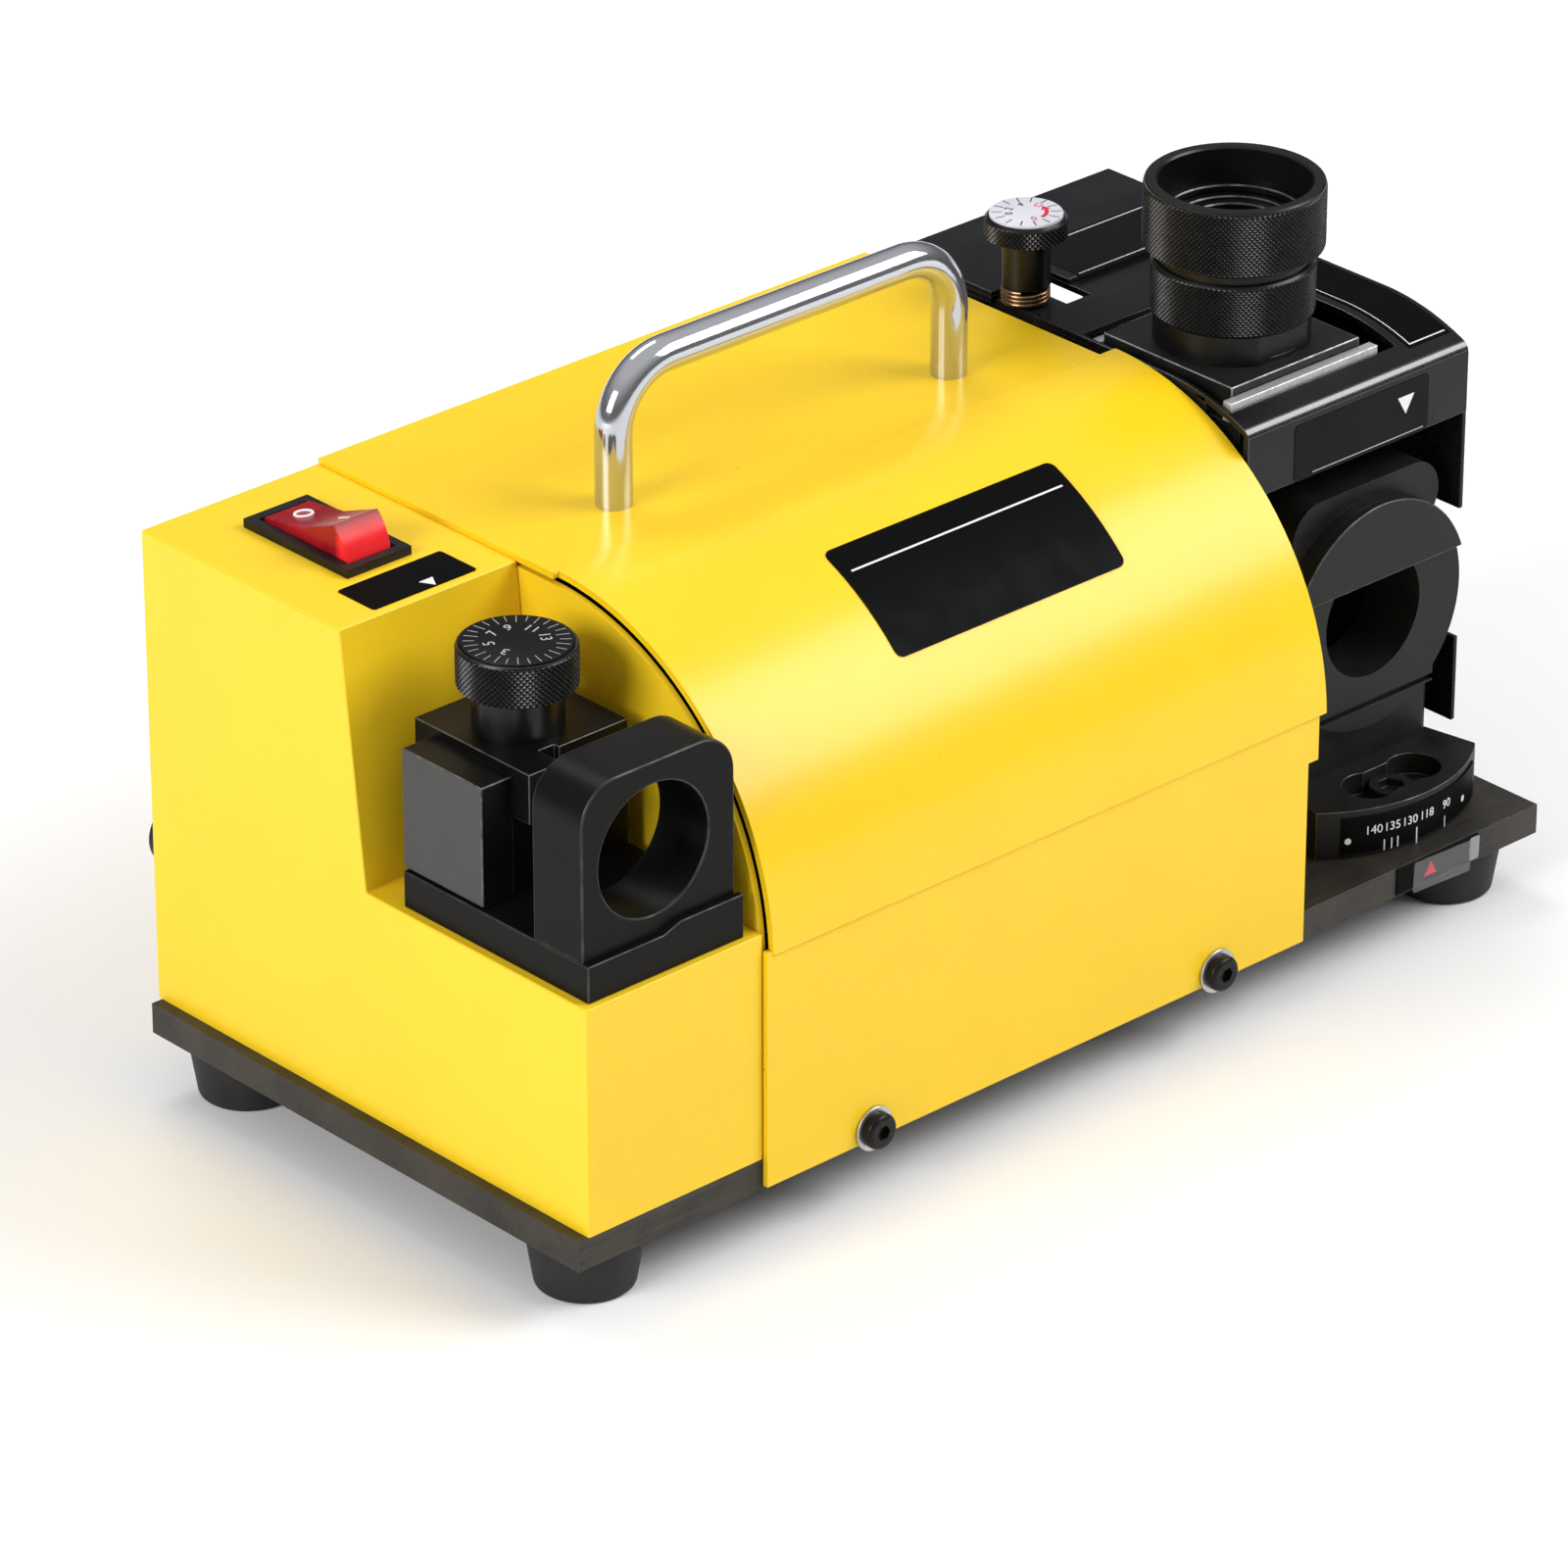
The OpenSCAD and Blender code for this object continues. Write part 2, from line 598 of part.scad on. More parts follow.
cradle_w = 16;
cradle_x = 34;          // distance of each saddle from the motor's middle
cradle_dep = 66;
cradle_h = 18;
cradle_mid = (motor_left + motor_right) / 2;
cradle_bolt_y = 27;
module at_cradle_bolts() {
  for (sx = [-1, 1]) for (sy = [-1, 1])
    translate([cradle_mid + sx * cradle_x, motor_y + sy * cradle_bolt_y, 0]) children();
}
module motor_cradle() color("#44484c") difference() {
  for (s = [-1, 1])
    block(cradle_mid + s * cradle_x - cradle_w / 2, cradle_mid + s * cradle_x + cradle_w / 2,
      motor_y - cradle_dep / 2, motor_y + cradle_dep / 2, plate_top, plate_top + cradle_h);
  rod_x(motor_r + fit, motor_left - past, motor_right + past, motor_y, motor_z);
  at_cradle_bolts() rod_z(cradle_bolt_r + fit, plate_top - past, plate_top + cradle_h / 2, 0, 0);
}
bolt_head_r = 4.5;
bolt_head_h = 2.5;
module plate_screws() color("#26262a") at_cradle_bolts() {
  rod_z(bolt_head_r, foot_h - bolt_head_h, foot_h, 0, 0);
  rod_z(cradle_bolt_r, foot_h, plate_top + cradle_h / 2 - past, 0, 0);
}

// ---- Turning parts ----
shaft_x0 = motor_left - bell_t - past;
nut_len = 6;
shaft_x1 = wheel_x + wheel_w + nut_len;
hub_bore_r = 8;
module motor_shaft() color("#c0c4c8") {
  rod_x(shaft_r, shaft_x0, shaft_x1, motor_y, motor_z);
  rod_x(stator_r - rotor_gap, stator_x0, stator_x1, motor_y, motor_z);
}
fan_r = 36;
fan_w = 10;
fan_air = 6;
fan_x = motor_left + fan_air;
fan_hub_r = 12;
blade_t = 1.6;
module cooling_fan() color("#2f3a44") difference() {
  union() {
    rod_x(fan_hub_r, fan_x, fan_x + fan_w, motor_y, motor_z);
    rod_x(fan_r, fan_x, fan_x + blade_t, motor_y, motor_z);
    for (a = [0:36:324]) translate([0, motor_y, motor_z]) rotate([a, 0, 0])
      block(fan_x, fan_x + fan_w, -blade_t / 2, blade_t / 2, fan_hub_r - past, fan_r - past);
  }
  rod_x(shaft_r + fit, fan_x - past, fan_x + fan_w + past, motor_y, motor_z);
}
flange_r = 16;
flange_t = 5;
sleeve_len = 16;
module wheel_hub() color("#8f9398") difference() {
  union() {
    rod_x(shaft_r + 4, wheel_x - sleeve_len, wheel_x, motor_y, motor_z);
    rod_x(flange_r, wheel_x - flange_t, wheel_x, motor_y, motor_z);
    rod_x(hub_bore_r, wheel_x, wheel_x + wheel_w - past, motor_y, motor_z);
  }
  rod_x(shaft_r + fit, wheel_x - sleeve_len - past, wheel_x + wheel_w, motor_y, motor_z);
}
wheel_r = wheel_d / 2;
wheel_bevel = 3;
module grinding_wheel() color("#7d7468") difference() {
  translate([wheel_x, motor_y, motor_z]) rotate([0, 90, 0]) rotate_extrude() polygon([
    [hub_bore_r + fit, 0], [wheel_r - wheel_bevel, 0], [wheel_r, wheel_bevel],
    [wheel_r, wheel_w - wheel_bevel], [wheel_r - wheel_bevel, wheel_w],
    [hub_bore_r + fit, wheel_w]
  ]);
}
module wheel_nut() color("#9a9ea3") difference() {
  translate([wheel_x + wheel_w, motor_y, motor_z]) rotate([0, 90, 0])
    cylinder(r = shaft_r * 2, h = nut_len - past, $fn = 6);
  rod_x(shaft_r + fit, wheel_x, shaft_x1 + past, motor_y, motor_z);
}

// ---- Head ----
cover_low = head_top_z - sheet_t;      // underside of the head's top sheet
roll_y = -18;                          // the top sheet starts to round over here
roll_z = head_top_z - head_roll_r;
post_back_y = head_front_y + post_w;
cam_r0 = 3.6;
cam_gap = 0.3;
cam_sweep = cam_r0 + port_travel + 3 * cam_gap;
wall_t = 1.2;
wall_x = head_right - wall_t;
shaft_window_r = 12;
depth_x = head_left + depth_inset;
slot_front = 8;
slot_back = 5.5;
slot_reach = 12;
slot_depth = 16.6;
slot_y0 = depth_y - slot_front;
slot_y1 = depth_y + slot_back;
slot_x1 = depth_x + slot_reach;
slot_low = head_top_z - slot_depth;
post_step = 9.5;                        // relief in the front post behind the swinging port
relief_z0 = 53;
relief_z1 = 84;
back_window_x0 = 90;
back_window_x1 = 130;
back_window_z0 = 60;
back_window_z1 = 108;
side_window_y0 = 8;
side_window_y1 = 50;
side_window_z0 = 40;
side_window_z1 = 100;
module head_frame() color("#1d1d1f") difference() {
  union() {
    block(head_left, head_left + sheet_t, post_back_y, head_back_y, plate_top, cover_low);
    block(head_left, head_right, head_back_y - sheet_t, head_back_y, plate_top, cover_low);
    block(wall_x, head_right, head_front_y + sheet_t, head_back_y, plate_top, lip_low_z);
    block(wall_x, head_right, roll_y, head_back_y, lip_low_z - past, cover_low);
    block(wall_x, head_right, head_front_y, head_front_y + 2 * sheet_t, plate_top, lip_low_z);
    intersection() {
      block(wall_x, head_right, head_front_y + sheet_t, roll_y + past, lip_low_z - past, cover_low);
      rod_x(head_roll_r - sheet_t, wall_x, head_right, roll_y, roll_z);
    }
  }
  rod_x(shaft_window_r, head_left - past, head_left + 2 * sheet_t, motor_y, motor_z);
  block(head_left - past, head_left + 2 * sheet_t, depth_y - cam_sweep, depth_y + cam_sweep,
    slot_low, cover_low + past);
  block(back_window_x0, back_window_x1, head_back_y - 2 * sheet_t, head_back_y + past,
    back_window_z0, back_window_z1);
  block(wall_x - past, head_right + past, side_window_y0, side_window_y1,
    side_window_z0, side_window_z1);
  block(wall_x - past, head_right + past, head_front_y - past, head_front_y + post_step,
    relief_z0, relief_z1);
  block(wall_x - past, head_right + past, head_front_y - past, head_front_y + post_step,
    plate_top - past, plate_top + swivel_base_h + past);
}
// The top sheet rounds over to a front lip; drop shifts its skin inwards
module cover_skin(x0, x1, drop) intersection() {
  block(x0, x1, head_front_y + drop, head_back_y, lip_low_z - drop, head_top_z - drop);
  union() {
    block(x0, x1, roll_y, head_back_y, lip_low_z - drop, head_top_z - drop);
    rod_x(head_roll_r - drop, x0, x1, roll_y, roll_z);
  }
}
recess_x1 = 122;
rail_w = 2.6;
recess_y0 = port_y - port_side / 2 - rail_w - 0.4;
recess_y1 = port_y + port_side / 2 + rail_w + 0.4;
module head_cover() color("#1b1b1d") difference() {
  cover_skin(head_left, head_right, 0);
  cover_skin(head_left - past, head_right + past, sheet_t);
  block(head_left - past, head_right + past, head_back_y - past, head_back_y + past,
    lip_low_z - past, cover_low);
  block(head_left + past, recess_x1, recess_y0, recess_y1, bed_z0, head_top_z + past);
  block(head_left - past, slot_x1, slot_y0, slot_y1, bed_z0, head_top_z + past);
}
lid_back_gap = 0.5;
module head_lid() color("#1b1b1d") difference() {
  block(head_left, head_right - wall_t, lid_front_y, head_back_y - lid_back_gap,
    head_top_z, head_top_z + lid_t);
  block(head_left - past, slot_x1, lid_front_y - past, slot_y1, head_top_z - past,
    head_top_z + 2 * lid_t);
}
bed_t = 4;
port_z0 = head_top_z + 0.4 - port_t;
bed_z0 = port_z0 - bed_t;
bed_y1 = recess_y1 + 1;
bed_hole = port_side / 2 - 3;
bed_gap = 0.4;
bed_y0 = roll_y - sqrt(pow(head_roll_r - sheet_t, 2) - pow(port_z0 + bed_gap - roll_z, 2));
module port_bed() color("#232326") difference() {
  block(head_left + sheet_t, wall_x, bed_y0, bed_y1, bed_z0, port_z0);
  block(port_x - bed_hole, port_x + bed_hole + port_travel, port_y - bed_hole,
    port_y + bed_hole, bed_z0 - past, port_z0 + past);
  block(arm_x0 - past, arm_x1 + port_travel + past, port_y, arm_y1 + past,
    bed_z0 - past, port_z0 + past);
}
rail_h = 4.5;
rail_x0 = head_left + sheet_t;
rail_x1 = recess_x1 - 5;
module port_rails() color("#b9bcc0") for (s = [-1, 1])
  block(rail_x0, rail_x1, port_y + s * (port_side / 2 + rail_w / 2 + run_gap) - rail_w / 2,
    port_y + s * (port_side / 2 + rail_w / 2 + run_gap) + rail_w / 2, port_z0, port_z0 + rail_h);

// ---- Splitting port: sliding plate, turning bush, chuck ----
port_top = port_z0 + port_t;
bush_r = bush_d / 2;
bush_seat_r = bush_r - 1;
groove_h = 2.6;
bush_top = port_top + bush_h;
chuck_top_z = bush_top + grip_h + groove_h + cap_h;
bush_flat = 1.5;
chuck_r = port_bore_d / 2 - run_gap;
arm_t = 3;
arm_z1 = bed_z0 - 0.5;
arm_z0 = arm_z1 - arm_t;
arm_x0 = depth_x + cam_r0 + cam_gap;
arm_x1 = arm_x0 + 5;
arm_y0 = port_y + chuck_r + 1.5;
arm_y1 = arm_y0 + arm_t;
module port_plate() color("#2a2a2c") {
  block(arm_x0, arm_x1, arm_y0, arm_y1, arm_z0, port_z0);
  block(arm_x0, arm_x1, arm_y0, depth_y + cam_r0 + port_travel, arm_z0, arm_z1);
  difference() {
    block(port_x - port_side / 2, port_x + port_side / 2, port_y - port_side / 2,
      port_y + port_side / 2, port_z0, port_top);
    rod_z(bush_seat_r + run_gap, port_z0 - past, port_top + past, port_x, port_y);
  }
}
module port_bush() color("#1e1e20") difference() {
  union() {
    rod_z(bush_seat_r, port_z0, port_top + past, port_x, port_y);
    difference() {
      rod_z(bush_r, port_top, bush_top, port_x, port_y);
      block(port_x - bush_r, port_x + bush_r, port_y - bush_r - past,
        port_y - bush_r + bush_flat, port_top - past, bush_top + past);
    }
  }
  rod_z(port_bore_d / 2, port_z0 - past, bush_top + past, port_x, port_y);
}
grip_r = grip_d / 2;
cap_r = cap_d / 2;
neck_r = grip_r - 1.4;
grip_top = bush_top + grip_h;
cap_z0 = grip_top + groove_h;
cup_depth = 9.6;
neck_top = chuck_top_z - cup_depth;
shank_len = 24;
collet_r = 10;
mouth_r = 12.4;
mouth_t = 0.6;
collet_sink = 10.6;      // the collet's top lies this far down the bore
collet_top = neck_top - collet_sink;
module chuck_body() color("#1f1f21") difference() {
  union() {
    rod_z(chuck_r, bush_top - shank_len, bush_top + past, port_x, port_y);
    knob_disc(grip_r, bush_top, grip_top, port_x, port_y, knob_edge);
    rod_z(neck_r, grip_top - past, neck_top, port_x, port_y);
  }
  rod_z(collet_r + run_gap, bush_top - shank_len - past, neck_top + past, port_x, port_y);
  rod_z(mouth_r + run_gap, neck_top - mouth_t, neck_top + past, port_x, port_y);
}
cap_bore_r = neck_r + run_gap;
cap_lip_w = 2;
cap_lip_r = cap_bore_r - cap_lip_w;
cap_lip_t = 1.4;
module chuck_cap() color("#1f1f21") difference() {
  knob_disc(cap_r, cap_z0, chuck_top_z, port_x, port_y, dial_edge);
  rod_z(cap_bore_r, cap_z0 - past, neck_top + cam_gap, port_x, port_y);
  rod_z(cap_lip_r, neck_top, chuck_top_z, port_x, port_y);
  rod_z(cap_bore_r, neck_top + cam_gap + cap_lip_t, chuck_top_z + past, port_x, port_y);
}
collet_slit = 1;
collet_z0 = bush_top - shank_len - 3;
module collet() color("#8d9095") difference() {
  rod_z(collet_r, collet_z0, collet_top, port_x, port_y);
  rod_z(collet_d / 2, collet_z0 - past, collet_top + past, port_x, port_y);
  for (a = [0:60:300]) translate([port_x, port_y, 0]) rotate([0, 0, a + 30])
    block(0, collet_r + past, -collet_slit / 2, collet_slit / 2, collet_z0 - past,
      bush_top - shank_len / 3);
}

// ---- Depth knob and its cam ----
depth_post_drop = 0.8;
depth_post_z1 = head_top_z - depth_post_drop;
depth_post_z0 = bed_z0;
spindle_r = 2.5;
neck_z0 = depth_post_z1 + depth_spring_h;
rim_z0 = neck_z0 + depth_neck_h;
rim_z1 = rim_z0 + depth_rim_h;
depth_post_x0 = head_left + sheet_t;
depth_post_side = 6;
module depth_post() color("#3a3b3e") difference() {
  union() {
    block(depth_post_x0, depth_x + depth_post_side, slot_y0 + cam_gap, slot_y1 - cam_gap,
      depth_post_z0, depth_post_z1);
    block(depth_post_x0, depth_x + depth_post_side, slot_y0 - depth_post_side,
      slot_y1 + depth_post_side, depth_post_z0, cover_low);
  }
  rod_z(spindle_r + run_gap, depth_post_z0 - past, depth_post_z1 + past, depth_x, depth_y);
}
spring_wire_r = 0.6;
spring_turns = 3;
spring_air = 0.1;
spring_pitch = (depth_spring_h - 2 * (spring_wire_r + spring_air)) / (spring_turns - 1);
module depth_spring() color("#b06a35") for (i = [0:spring_turns - 1])
  translate([depth_x, depth_y, depth_post_z1 + spring_wire_r + spring_air + i * spring_pitch])
    rotate_extrude() translate([depth_neck_d / 2 - spring_wire_r, 0]) circle(r = spring_wire_r);
cam_turn = 270;
module depth_knob() color("#1f1f21") {
  rod_z(depth_neck_d / 2, neck_z0, rim_z0 + past, depth_x, depth_y);
  knob_disc(depth_rim_d / 2, rim_z0, rim_z1, depth_x, depth_y, knob_edge);
  rod_z(spindle_r, arm_z0, neck_z0 + past, depth_x, depth_y);
  translate([depth_x, depth_y, arm_z0]) linear_extrude(arm_t)
    polygon(spiral(cam_r0, port_travel, cam_turn, 0));
}
dial_face_t = 1;
depth_face_inset = 1.1;
module depth_dial() color("#e4e4e2")
  rod_z(depth_rim_d / 2 - depth_face_inset, rim_z1, rim_z1 + dial_face_t, depth_x, depth_y);

// ---- Angle port on its swivel ----
scale_half = 38.5;        // the base's sides run out to this half angle
wedge_reach = 1.05;       // and end this far outside its round front, as a share of its radius
swivel_tail = 8;          // the base reaches this far behind its pin
base_z1 = plate_top + swivel_base_h;
swivel_pin_r = 4;
swivel_pin_depth = 5;
pocket_depth = 5;
pocket_r = 6;
pocket_reach = 29;
pocket_turn = 14;
pocket_side = pocket_reach * sin(pocket_turn);
pocket_y = swivel_y - pocket_reach * cos(pocket_turn);
pocket_web = pocket_r - 1;    // half the width of the pocket between its round ends
module swivel_wedge(r, z0, z1) {
  intersection() {
    rod_z(r, z0, z1, swivel_x, swivel_y);
    translate([swivel_x, swivel_y, z0]) linear_extrude(z1 - z0) polygon([
      [-swivel_tail, swivel_tail], [-upright_w / 2 + 2, -upright_reach + upright_t],
      wedge_reach * r * [-sin(scale_half), -cos(scale_half)], [0, -2 * r],
      wedge_reach * r * [sin(scale_half), -cos(scale_half)],
      [upright_w / 2 - 2, -upright_reach + upright_t], [swivel_tail, swivel_tail]
    ]);
  }
}
module swivel_base() color("#232325") difference() {
  swivel_wedge(scale_r, plate_top, base_z1);
  rod_z(swivel_pin_r + run_gap, plate_top - past, base_z1 + past, swivel_x, swivel_y);
  for (a = [-pocket_turn, pocket_turn]) translate([swivel_x, swivel_y, 0]) rotate([0, 0, a])
    rod_z(pocket_r, base_z1 - pocket_depth, base_z1 + past, 0, -pocket_reach);
  block(swivel_x - pocket_side, swivel_x + pocket_side, pocket_y - pocket_web,
    pocket_y + pocket_web, base_z1 - pocket_depth, base_z1 + past);
}
upright_y = swivel_y - upright_reach;
upright_r = 8;
edge_r = 3;
bore_z = motor_z;
stop_rise = 9;
stop_z = bore_z + stop_rise;
neck_w = upright_w - 2 * edge_r;
boss_low = 14;
module angle_port() color("#262628") difference() {
  union() {
    block(swivel_x - upright_w / 2 + edge_r, swivel_x + upright_w / 2 - edge_r, upright_y,
      upright_y + upright_t, base_z1, upright_top_z - upright_r);
    block(swivel_x - upright_w / 2, swivel_x + upright_w / 2, upright_y + edge_r,
      upright_y + upright_t, base_z1, upright_top_z - upright_r);
    for (s = [-1, 1]) {
      rod_z(edge_r, base_z1, upright_top_z - upright_r, swivel_x + s * (upright_w / 2 - edge_r),
        upright_y + edge_r);
      rod_y(upright_r, upright_y, upright_y + upright_t,
        swivel_x + s * (upright_w / 2 - upright_r), upright_top_z - upright_r);
    }
    block(swivel_x - upright_w / 2 + upright_r, swivel_x + upright_w / 2 - upright_r,
      upright_y, upright_y + upright_t, upright_top_z - 2 * upright_r, upright_top_z);
    rod_y(boss_r, upright_y - boss_t, upright_y + past, swivel_x, bore_z);
    block(swivel_x - neck_w / 2, swivel_x + neck_w / 2, upright_y - boss_t,
      upright_y + past, base_z1 + boss_low, bore_z - boss_r / 2);
  }
  rod_y(port_bore_d / 2, upright_y - boss_t - past, upright_y + upright_t + past,
    swivel_x, bore_z);
}
module stop_plate() color("#2b2b2d") difference() {
  rod_y(boss_r, upright_y - boss_t - stop_t, upright_y - boss_t, swivel_x, bore_z);
  block(swivel_x - 2 * boss_r, swivel_x + 2 * boss_r, upright_y - boss_t - stop_t - past,
    upright_y, bore_z - 2 * boss_r, stop_z);
}
scale_t = 0.4;
scale_z0 = plate_top + 1.2;
scale_z1 = base_z1 - 1.6;
scale_span = 32;
module angle_scale() color("#0e0e0e") translate([swivel_x, swivel_y, scale_z0])
  rotate([0, 0, -90 - scale_span]) rotate_extrude(angle = 2 * scale_span)
    translate([scale_r, 0]) square([scale_t, scale_z1 - scale_z0]);
pin_head_r = 5.5;
pin_head_h = 2;
module swivel_pin() color("#85888c") {
  rod_z(swivel_pin_r, plate_top - swivel_pin_depth, base_z1 + cam_gap, swivel_x, swivel_y);
  rod_z(pin_head_r, base_z1 + cam_gap, base_z1 + cam_gap + pin_head_h, swivel_x, swivel_y);
}
lock_r = 3;
lock_head_h = 3;
module swivel_screw() color("#1a1a1c") difference() {
  rod_z(pocket_r - 1, base_z1 - pocket_depth, base_z1 - pocket_depth + lock_head_h,
    swivel_x, pocket_y);
  translate([swivel_x, pocket_y, base_z1 - pocket_depth + lock_head_h / 3])
    cylinder(r = lock_r, h = lock_head_h, $fn = 6);
}
index_x0 = 95.5;
index_x1 = 121;
module index_plate() color("#141414")
  block(index_x0, index_x1, -plate_dep / 2 - scale_t, -plate_dep / 2, foot_h + scale_t,
    plate_top - scale_t / 2);

// ---- Web gauge on the box's step ----
gauge_right = gauge_left + gauge_w;
gauge_back_y = gauge_front_y + gauge_dep;
gauge_z = step_z + gauge_base_h;
gauge_bore_x = -116.2;
gauge_axis_z = step_z + gauge_bore_z;
ring_z = step_z + ring_top;
ring_inset = 1.6;    // the ring block stands this far behind the base's front
ledge_h = 1.6;       // the base's front ledge in front of the ring block
ledge_x0 = -115;
ledge_x1 = -110.5;
module gauge_base() color("#2b2b2d") {
  block(gauge_left, gauge_right, gauge_front_y, gauge_back_y, step_z, gauge_z);
  translate([0, gauge_front_y + ring_inset, 0]) rotate([90, 0, 0])
    linear_extrude(ring_inset) polygon([
      [ledge_x0, gauge_z - past], [gauge_right, gauge_z - past],
      [gauge_right, gauge_z + ledge_h], [ledge_x1, gauge_z + ledge_h], [ledge_x0, gauge_z]
    ]);
}
ring_y0 = gauge_front_y + ring_inset;
module gauge_ring() color("#262628") difference() {
  union() {
    block(gauge_left, gauge_right - past, ring_y0, gauge_front_y + ring_t,
      gauge_z, ring_z - ring_corner_r);
    block(gauge_left + ring_corner_r, gauge_right - past - ring_corner_r, ring_y0,
      gauge_front_y + ring_t, gauge_z, ring_z);
    for (x = [gauge_left + ring_corner_r, gauge_right - past - ring_corner_r])
      rod_y(ring_corner_r, ring_y0, gauge_front_y + ring_t, x, ring_z - ring_corner_r);
  }
  rod_y(port_bore_d / 2, gauge_front_y - past, gauge_front_y + ring_t + past,
    gauge_bore_x, gauge_axis_z);
}
housing_z = step_z + housing_top;
jaw_inset = 0.7;
jaw_w = 8.4;
jaw_x0 = gauge_left + jaw_inset;
jaw_x1 = jaw_x0 + jaw_w;
jaw_y0 = -33.6;
jaw_y1 = gauge_back_y + jaw_inset;
jaw_z0 = gauge_z + cam_gap;
jaw_drop = 1.9;
housing_inset = 1.3;
housing_tail = 6.4;
jaw_z1 = housing_z - jaw_drop;
housing_x1 = gauge_right - housing_inset;
housing_y0 = -38.5;
housing_y1 = gauge_back_y + housing_tail;
notch_y = -33;
prong_h = 11.1;      // height of the prong beside the sight slot
prong_z0 = housing_z - prong_h;
sight_x0 = -117;
sight_x1 = -113.3;
sight_y1 = -31.5;
dial_x = -112.5;
dial_y = -19.7;
chamber_r = 9.6;
chamber_h = 12;
chamber_z0 = gauge_z + 2;
gauge_cam_r0 = 4.4;
gauge_cam_turn = 300;
gauge_spindle_r = 3;
tongue_w = 6;
tongue_z0 = chamber_z0 + 2;
tongue_z1 = chamber_z0 + chamber_h - 2;
module gauge_housing() color("#2b2b2d") difference() {
  union() {
    block(jaw_x1, housing_x1, notch_y, housing_y1, gauge_z, housing_z);
    block(jaw_x1, sight_x0, housing_y0, notch_y + past, prong_z0, housing_z);
  }
  block(sight_x0 - past / 2, sight_x1, housing_y0 - past, sight_y1, gauge_z - past,
    housing_z + past);
  rod_z(chamber_r, chamber_z0, chamber_z0 + chamber_h, dial_x, dial_y);
  rod_z(gauge_spindle_r + run_gap, gauge_z - past, housing_z + past, dial_x, dial_y);
  block(jaw_x1 - past, dial_x, dial_y - tongue_w / 2 - cam_gap, dial_y + tongue_w / 2 + cam_gap,
    tongue_z0 - cam_gap, tongue_z1 + cam_gap);
}
module gauge_jaw() color("#4a4b4e") {
  block(jaw_x0, jaw_x1, jaw_y0, jaw_y1, jaw_z0, jaw_z1);
  block(jaw_x1 - past, dial_x - gauge_cam_r0 - cam_gap, dial_y - tongue_w / 2,
    dial_y + tongue_w / 2, tongue_z0, tongue_z1);
}
module gauge_spindle() color("#9a9da2") {
  rod_z(gauge_spindle_r, gauge_z + cam_gap, housing_z + past / 2, dial_x, dial_y);
  translate([dial_x, dial_y, tongue_z0]) linear_extrude(tongue_z1 - tongue_z0)
    polygon(spiral(gauge_cam_r0, jaw_travel, gauge_cam_turn, 180));
}
dial_z0 = housing_z;
dial_z1 = dial_z0 + dial_neck_h;
dial_z2 = dial_z1 + dial_rim_h;
module gauge_knob() color("#1f1f21") difference() {
  union() {
    rod_z(dial_neck_d / 2, dial_z0, dial_z1 + past, dial_x, dial_y);
    knob_disc(dial_d / 2, dial_z1, dial_z2, dial_x, dial_y, dial_edge);
  }
  rod_z(gauge_spindle_r, dial_z0 - past, dial_z0 + past / 2, dial_x, dial_y);
}
dial_t = 0.6;
gauge_face_inset = 1.2;
module gauge_dial() color("#101012")
  rod_z(dial_d / 2 - gauge_face_inset, dial_z2, dial_z2 + dial_t, dial_x, dial_y);

base_plate();
rubber_feet();
foot_screws();
plate_screws();
electrical_box();
switch_frame();
switch_rocker();
switch_body();
power_inlet();
terminal_block();
motor_capacitor();
hood();
hood_screws();
hood_washers();
left_end_panel();
right_end_panel();
front_plate();
web_plate();
handle();
handle_nuts();
motor_body();
motor_left_bell();
motor_right_bell();
motor_cradle();
motor_shaft();
left_bearing();
right_bearing();
cooling_fan();
wheel_hub();
grinding_wheel();
wheel_nut();
head_frame();
head_cover();
head_lid();
port_bed();
port_rails();
port_plate();
port_bush();
chuck_body();
chuck_cap();
collet();
depth_knob();
depth_dial();
depth_spring();
depth_post();
swivel_base();
angle_port();
stop_plate();
angle_scale();
swivel_pin();
swivel_screw();
index_plate();
gauge_base();
gauge_ring();
gauge_housing();
gauge_jaw();
gauge_knob();
gauge_dial();
gauge_spindle();
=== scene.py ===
"""Looks of a bench drill bit sharpener: painted sheet metal, blackened steel, chrome
handle, knurled knobs, printed films and dials, on a pale floor under soft light."""
import json
import math

import bpy
from mathutils import Matrix, Vector


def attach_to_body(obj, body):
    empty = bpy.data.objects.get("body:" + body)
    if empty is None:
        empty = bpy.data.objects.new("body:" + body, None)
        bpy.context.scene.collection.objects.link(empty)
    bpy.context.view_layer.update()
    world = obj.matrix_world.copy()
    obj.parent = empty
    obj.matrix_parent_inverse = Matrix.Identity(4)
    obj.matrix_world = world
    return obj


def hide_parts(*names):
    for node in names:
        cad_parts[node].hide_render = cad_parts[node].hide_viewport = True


MM = 0.001
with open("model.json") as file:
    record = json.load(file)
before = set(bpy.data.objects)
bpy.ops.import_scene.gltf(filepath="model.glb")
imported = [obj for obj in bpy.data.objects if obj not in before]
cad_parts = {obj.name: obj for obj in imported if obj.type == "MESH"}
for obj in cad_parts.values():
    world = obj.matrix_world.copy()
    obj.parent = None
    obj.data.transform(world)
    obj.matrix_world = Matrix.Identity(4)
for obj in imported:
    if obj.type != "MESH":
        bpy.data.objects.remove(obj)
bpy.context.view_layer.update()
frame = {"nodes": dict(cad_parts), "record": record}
NODES = frame["nodes"]
RECORD = frame["record"]
BODY_OF = {n: body for body, members in RECORD["behaviour"]["bodies"].items() for n in members}
SLOT_OF = {part["node"]: part["material_slot"] for part in RECORD["subparts"]}

